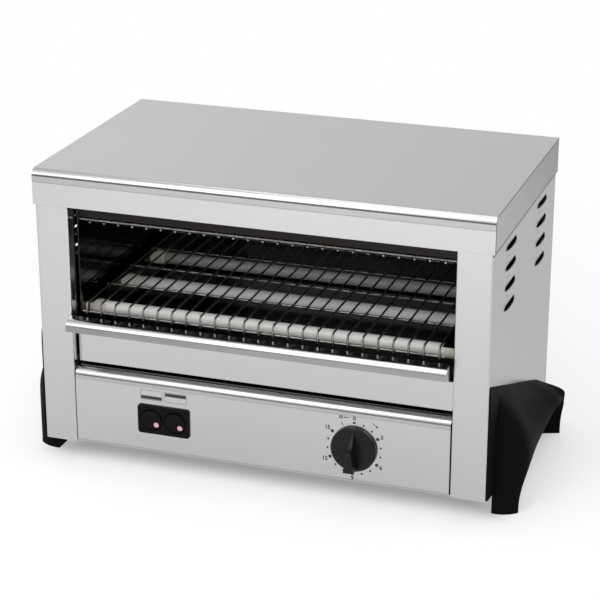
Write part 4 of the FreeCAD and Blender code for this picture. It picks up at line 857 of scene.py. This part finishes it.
class GRILL_OT_dial_marks(bpy.types.Operator):
    """Print the dial's dots, numbers, hold mark and arrows on the control panel"""
    bl_idname = "grill.dial_marks"
    bl_label = "Dial marks"

    def execute(self, context):
        sizes = context.scene.grill_dial
        ink = printed_ink("dial_ink")
        minutes_per_number = 3
        bm = bmesh.new()
        for minute in range(sizes.minutes + 1):
            self.minute_mark(bm, minute, minutes_per_number, sizes)
        self.hold_mark(bm, sizes)
        self.turn_arrow(bm, sizes)
        new_piece("dial_dots", mesh_from(bm, "dial_dots"), ink, "cabinet")
        two_digits_out = 0.0012
        for minute in range(0, sizes.minutes + 1, minutes_per_number):
            radius = sizes.number_radius + (two_digits_out if minute >= 10 else 0.0)
            x, z = around_dial(radius, minute * sizes.minute_angle)
            mesh = printed_number(str(minute), x, z, sizes.number_height, sizes.ink_thickness)
            new_piece(f"dial_number_{minute}", mesh, ink, "cabinet")
        return {"FINISHED"}

    def minute_mark(self, bm, minute, minutes_per_number, sizes):
        """A block at 0, a large dot beside each number and a small dot at the other minutes."""
        block_width, block_height, small_segments = 2.6e-3, 2.2e-3, 14
        x, z = around_dial(sizes.ring_radius, minute * sizes.minute_angle)
        if minute == 0:
            printed_bar(bm, x, z, block_width, block_height, sizes.ink_thickness)
        elif minute % minutes_per_number == 0:
            printed_disc(bm, x, z, sizes.large_dot, sizes.ink_thickness)
        else:
            printed_disc(bm, x, z, sizes.small_dot, sizes.ink_thickness, small_segments)

    def hold_mark(self, bm, sizes):
        """A tick left of 0, and beside the 0 an arrow that points left to a small frame."""
        tick_angle, tick_out, tick_width, tick_height = math.radians(333.5), 0.0004, 0.85e-3, 3.4e-3
        shaft_left, shaft_width, shaft_height = 6.6e-3, 4.4e-3, 0.55e-3
        head_left, head_size, left = 9.2e-3, 1.35e-3, math.radians(-90)
        frame_left, frame_drop = 13.2e-3, 0.2e-3
        frame_width, frame_height, frame_line = 3.4e-3, 2.8e-3, 0.85e-3
        ink = sizes.ink_thickness
        x, z = around_dial(sizes.ring_radius + tick_out, tick_angle)
        printed_bar(bm, x, z, tick_width, tick_height, ink, tick_angle)
        x, z = DIAL_CENTRE.x, DIAL_CENTRE.z + sizes.number_radius
        printed_bar(bm, x - shaft_left, z, shaft_width, shaft_height, ink)
        printed_arrow_head(bm, x - head_left, z, left, head_size, ink)
        printed_frame(bm, x - frame_left, z - frame_drop, frame_width, frame_height, frame_line, ink)

    def turn_arrow(self, bm, sizes):
        """A clockwise arrow at the upper right of the dial."""
        outside_ring, start, step_angle, steps, tip = 7.2e-3, 32, 1.4, 6, 41.2
        radius = sizes.ring_radius + outside_ring
        piece_width, piece_height, head_size = 1.0e-3, 0.5e-3, 1.6e-3
        for step in range(steps):
            angle = math.radians(start + step * step_angle)
            x, z = around_dial(radius, angle)
            printed_bar(bm, x, z, piece_width, piece_height, sizes.ink_thickness, angle)
        angle = math.radians(tip)
        x, z = around_dial(radius, angle)
        printed_arrow_head(bm, x, z, angle + math.radians(90), head_size, sizes.ink_thickness)


class GRILL_OT_switch_marks(bpy.types.Operator):
    """Print the two row marks over the rocker switch"""
    bl_idname = "grill.switch_marks"
    bl_label = "Switch marks"

    def execute(self, context):
        ink = context.scene.grill_dial.ink_thickness
        bm = bmesh.new()
        width, height, line, bar, inset = 23.2e-3, 10.2e-3, 0.28e-3, 3.4e-3, 1.6e-3
        above_switch, from_middle = 10.3e-3, 12.65e-3
        z = SWITCH_HIGH.z + above_switch
        middle = (SWITCH_LOW.x + SWITCH_HIGH.x) / 2
        for side in (-1, 1):
            x = middle + side * from_middle
            printed_frame(bm, x, z, width, height, line, ink)
            printed_bar(bm, x, z + side * (height - bar - inset) / 2, width - inset, bar, ink)
        mesh = mesh_from(bm, "switch_marks")
        new_piece("switch_marks", mesh, printed_ink("switch_ink"), "cabinet")
        return {"FINISHED"}


class GRILL_OT_stage(bpy.types.Operator):
    """Lay the floor, set the lamps and the camera"""
    bl_idname = "grill.stage"
    bl_label = "Stage"

    def execute(self, context):
        stage = context.scene.grill_stage
        self.floor(stage)
        self.world(context.scene, stage)
        self.lamp("key_lamp", (-0.66, -1.60, 1.95), (0, -0.15, 0.16), 0.9, 3.0, stage.key_radiance)
        self.lamp("top_lamp", (-0.2, 0.5, 2.3), (0, 0, 0.25), 1.3, 1.3, stage.top_radiance)
        self.lamp("fill_lamp", (0.9, -2.0, 0.9), (0, 0, 0.15), 1.0, 1.0, stage.fill_radiance)
        low = self.lamp("low_lamp", (-0.1, -1.5, 0.42), (0, -0.1, 0.17), 1.4, 0.35, stage.low_radiance)
        low.visible_glossy = False
        self.camera(context.scene, stage)
        context.scene.view_settings.view_transform = "Standard"
        return {"FINISHED"}

    def light_path(self, tree, *rays):
        """1 for rays of the named kinds."""
        path = add_node(tree, "ShaderNodeLightPath")
        found = path.outputs[rays[0]]
        for ray in rays[1:]:
            found = larger(tree, found, path.outputs[ray])
        return found

    def floor(self, stage):
        """Round floor that belongs to the stage alone."""
        bm = bmesh.new()
        bmesh.ops.create_circle(bm, cap_ends=True, radius=stage.floor_radius, segments=64)
        piece = bpy.data.objects.new("floor", mesh_from(bm, "floor"))
        bpy.context.scene.collection.objects.link(piece)
        piece.data.materials.append(self.floor_material(stage))

    def floor_material(self, stage):
        """Pale floor that glows a little, fades to white for the camera and mirrors darker far out."""
        white_from, white_to = 0.35, 1.2
        material, tree, shader = new_material("pale_floor", FLOOR_TONE, 0.0, 0.9)
        shader.inputs["Specular IOR Level"].default_value = 0.0
        place = add_node(tree, "ShaderNodeTexCoord")
        length = add_node(tree, "ShaderNodeVectorMath", operation="LENGTH")
        tree.links.new(place.outputs["Object"], length.inputs[0])
        distance = length.outputs["Value"]
        in_gloss = self.light_path(tree, "Is Glossy Ray")
        self.dim_far_out(tree, shader, distance, in_gloss, stage)
        glow = add_node(tree, "ShaderNodeEmission")
        strength = mix_values(tree, in_gloss, self.under_body(tree, stage),
                              self.glow_in_gloss(tree, distance, stage))
        shown = self.light_path(tree, "Is Camera Ray", "Is Glossy Ray", "Is Transmission Ray")
        tree.links.new(product(tree, shown, strength), glow.inputs["Strength"])
        near = add_node(tree, "ShaderNodeAddShader")
        tree.links.new(shader.outputs[0], near.inputs[0])
        tree.links.new(glow.outputs[0], near.inputs[1])
        far = add_node(tree, "ShaderNodeEmission", Strength=1.0)
        fade = soft_remap(tree, distance, 0.0, 1.0, white_from, white_to)
        fade = product(tree, fade, self.light_path(tree, "Is Camera Ray"))
        mixed = mix_shaders(tree, fade, near, far)
        tree.links.new(mixed.outputs[0], tree.nodes["Material Output"].inputs["Surface"])
        return material

    def dim_far_out(self, tree, shader, distance, in_gloss, stage):
        """Take part of the floor's own tone away in reflections of places far out."""
        dim_from, dim_to = 0.95, 1.9
        dimmer = soft_remap(tree, distance, 0.0, stage.floor_dimming, dim_from, dim_to)
        shade = add_node(tree, "ShaderNodeMix", data_type="RGBA")
        shade.inputs[6].default_value = (*FLOOR_TONE, 1)
        shade.inputs[7].default_value = (0, 0, 0, 1)
        tree.links.new(product(tree, in_gloss, dimmer), shade.inputs[0])
        tree.links.new(shade.outputs[2], shader.inputs["Base Color"])

    def glow_in_gloss(self, tree, distance, stage):
        """The floor's glow in reflections: it rises with distance, and falls behind and far out; the lower
        glow near and behind the part is painted shade of the floor, seen in reflections.
        """
        rise_from, rise_to, fall_from, fall_to = 0.15, 0.95, 1.1, 2.2
        behind_from, behind_to = -0.1, 0.5
        rise = soft_remap(tree, distance, stage.floor_near, stage.floor_far, rise_from, rise_to)
        behind = soft_remap(tree, place_along(tree, "Y"), 1.0, stage.floor_behind, behind_from, behind_to)
        beyond = soft_remap(tree, distance, 1.0, stage.floor_horizon, fall_from, fall_to)
        return product(tree, product(tree, rise, behind), beyond)

    def under_body(self, tree, stage):
        """The floor's glow for the camera: full outside the body's footprint, less beneath it, which paints
        the body's shadow on the floor.
        """
        dark, full = stage.floor_glow * stage.shadow_glow, stage.floor_glow
        dark_depth, full_depth, dark_width, full_width = 0.084, 0.121, 0.20, 0.25
        depth, width = size_of(tree, place_along(tree, "Y")), size_of(tree, place_along(tree, "X"))
        return larger(tree, soft_remap(tree, depth, dark, full, dark_depth, full_depth),
                      soft_remap(tree, width, dark, full, dark_width, full_width))

    def world(self, scene, stage):
        """Even light, a white backdrop for the camera, and a graded one in reflections."""
        front_low, front_high, back_start, back_end = 0.15, 0.36, -0.50, -0.12
        high_from, high_to, high_level = 0.45, 0.9, 0.75
        front_until, back_from = -0.35, 0.25
        world = bpy.data.worlds.new("studio")
        world.use_nodes = True
        tree = world.node_tree
        tree.nodes.clear()
        direction = add_node(tree, "ShaderNodeTexCoord")
        parts = add_node(tree, "ShaderNodeSeparateXYZ")
        tree.links.new(direction.outputs["Generated"], parts.inputs[0])
        along_x, along_y, along_z = (parts.outputs[axis] for axis in "XYZ")
        front = soft_remap(tree, along_z, stage.horizon_front, stage.sky_front, front_low, front_high)
        back = soft_remap(tree, along_x, stage.back_left, stage.back_right, back_start, back_end)
        high = soft_remap(tree, along_z, 1.0, high_level, high_from, high_to)
        side = soft_remap(tree, along_y, 0.0, 1.0, front_until, back_from)
        reflected = mix_values(tree, side, front, product(tree, back, high))
        level = add_node(tree, "ShaderNodeMix", data_type="FLOAT")
        level.inputs[2].default_value = stage.ambient
        tree.links.new(self.light_path(tree, "Is Glossy Ray"), level.inputs[0])
        tree.links.new(reflected, level.inputs[3])
        unseen = add_node(tree, "ShaderNodeBackground")
        tree.links.new(level.outputs[0], unseen.inputs["Strength"])
        seen = add_node(tree, "ShaderNodeBackground", Strength=1.0)
        rays = self.light_path(tree, "Is Camera Ray", "Is Transmission Ray")
        output = add_node(tree, "ShaderNodeOutputWorld")
        tree.links.new(mix_shaders(tree, rays, unseen, seen).outputs[0], output.inputs["Surface"])
        scene.world = world

    def lamp(self, name, place, target, width, height, radiance):
        """Rectangular softbox of even radiance, its height in the upright plane through the target."""
        light = bpy.data.lights.new(name, "AREA")
        light.shape = "RECTANGLE"
        light.size = width
        light.size_y = height
        light.energy = math.pi * width * height * radiance
        lamp = bpy.data.objects.new(name, light)
        bpy.context.scene.collection.objects.link(lamp)
        lamp.location = place
        lamp.rotation_euler = (Vector(target) - Vector(place)).to_track_quat("-Z", "Y").to_euler()
        return lamp

    def camera(self, scene, stage):
        data = bpy.data.cameras.new("camera")
        data.lens = stage.camera_lens
        data.sensor_width = 36.0
        data.clip_start = 0.05
        camera = bpy.data.objects.new("camera", data)
        scene.collection.objects.link(camera)
        camera.location = stage.camera_place
        camera.rotation_euler = (math.pi / 2 - stage.camera_tilt, 0, stage.camera_turn)
        scene.camera = camera


class GRILL_PT_panel(bpy.types.Panel):
    """Lists the steps that finish the toaster grill"""
    bl_idname = "GRILL_PT_panel"
    bl_label = "Toaster grill"
    bl_space_type = "VIEW_3D"
    bl_region_type = "UI"
    bl_category = "Toaster grill"

    def draw(self, context):
        for step in STEPS:
            self.layout.operator(step.bl_idname)
        for name, group in SETTINGS.items():
            box = self.layout.box()
            for setting in group.__annotations__:
                box.prop(getattr(context.scene, name), setting)


STEPS = (GRILL_OT_steel_sheets, GRILL_OT_wire_grilles, GRILL_OT_heating_tubes, GRILL_OT_heating_wires,
         GRILL_OT_mouldings, GRILL_OT_fittings, GRILL_OT_dial_marks, GRILL_OT_switch_marks, GRILL_OT_stage)
CLASSES = (*SETTINGS.values(), *STEPS, GRILL_PT_panel)


def register():
    for cls in CLASSES:
        bpy.utils.register_class(cls)
    for name, group in SETTINGS.items():
        setattr(bpy.types.Scene, name, PointerProperty(type=group))


def unregister():
    for name in SETTINGS:
        delattr(bpy.types.Scene, name)
    for cls in reversed(CLASSES):
        bpy.utils.unregister_class(cls)


def main():
    register()
    bpy.ops.grill.steel_sheets()
    bpy.ops.grill.wire_grilles()
    bpy.ops.grill.heating_tubes()
    bpy.ops.grill.heating_wires()
    bpy.ops.grill.mouldings()
    bpy.ops.grill.fittings()
    bpy.ops.grill.dial_marks()
    bpy.ops.grill.switch_marks()
    bpy.ops.grill.stage()


if __name__ == "__main__":
    main()
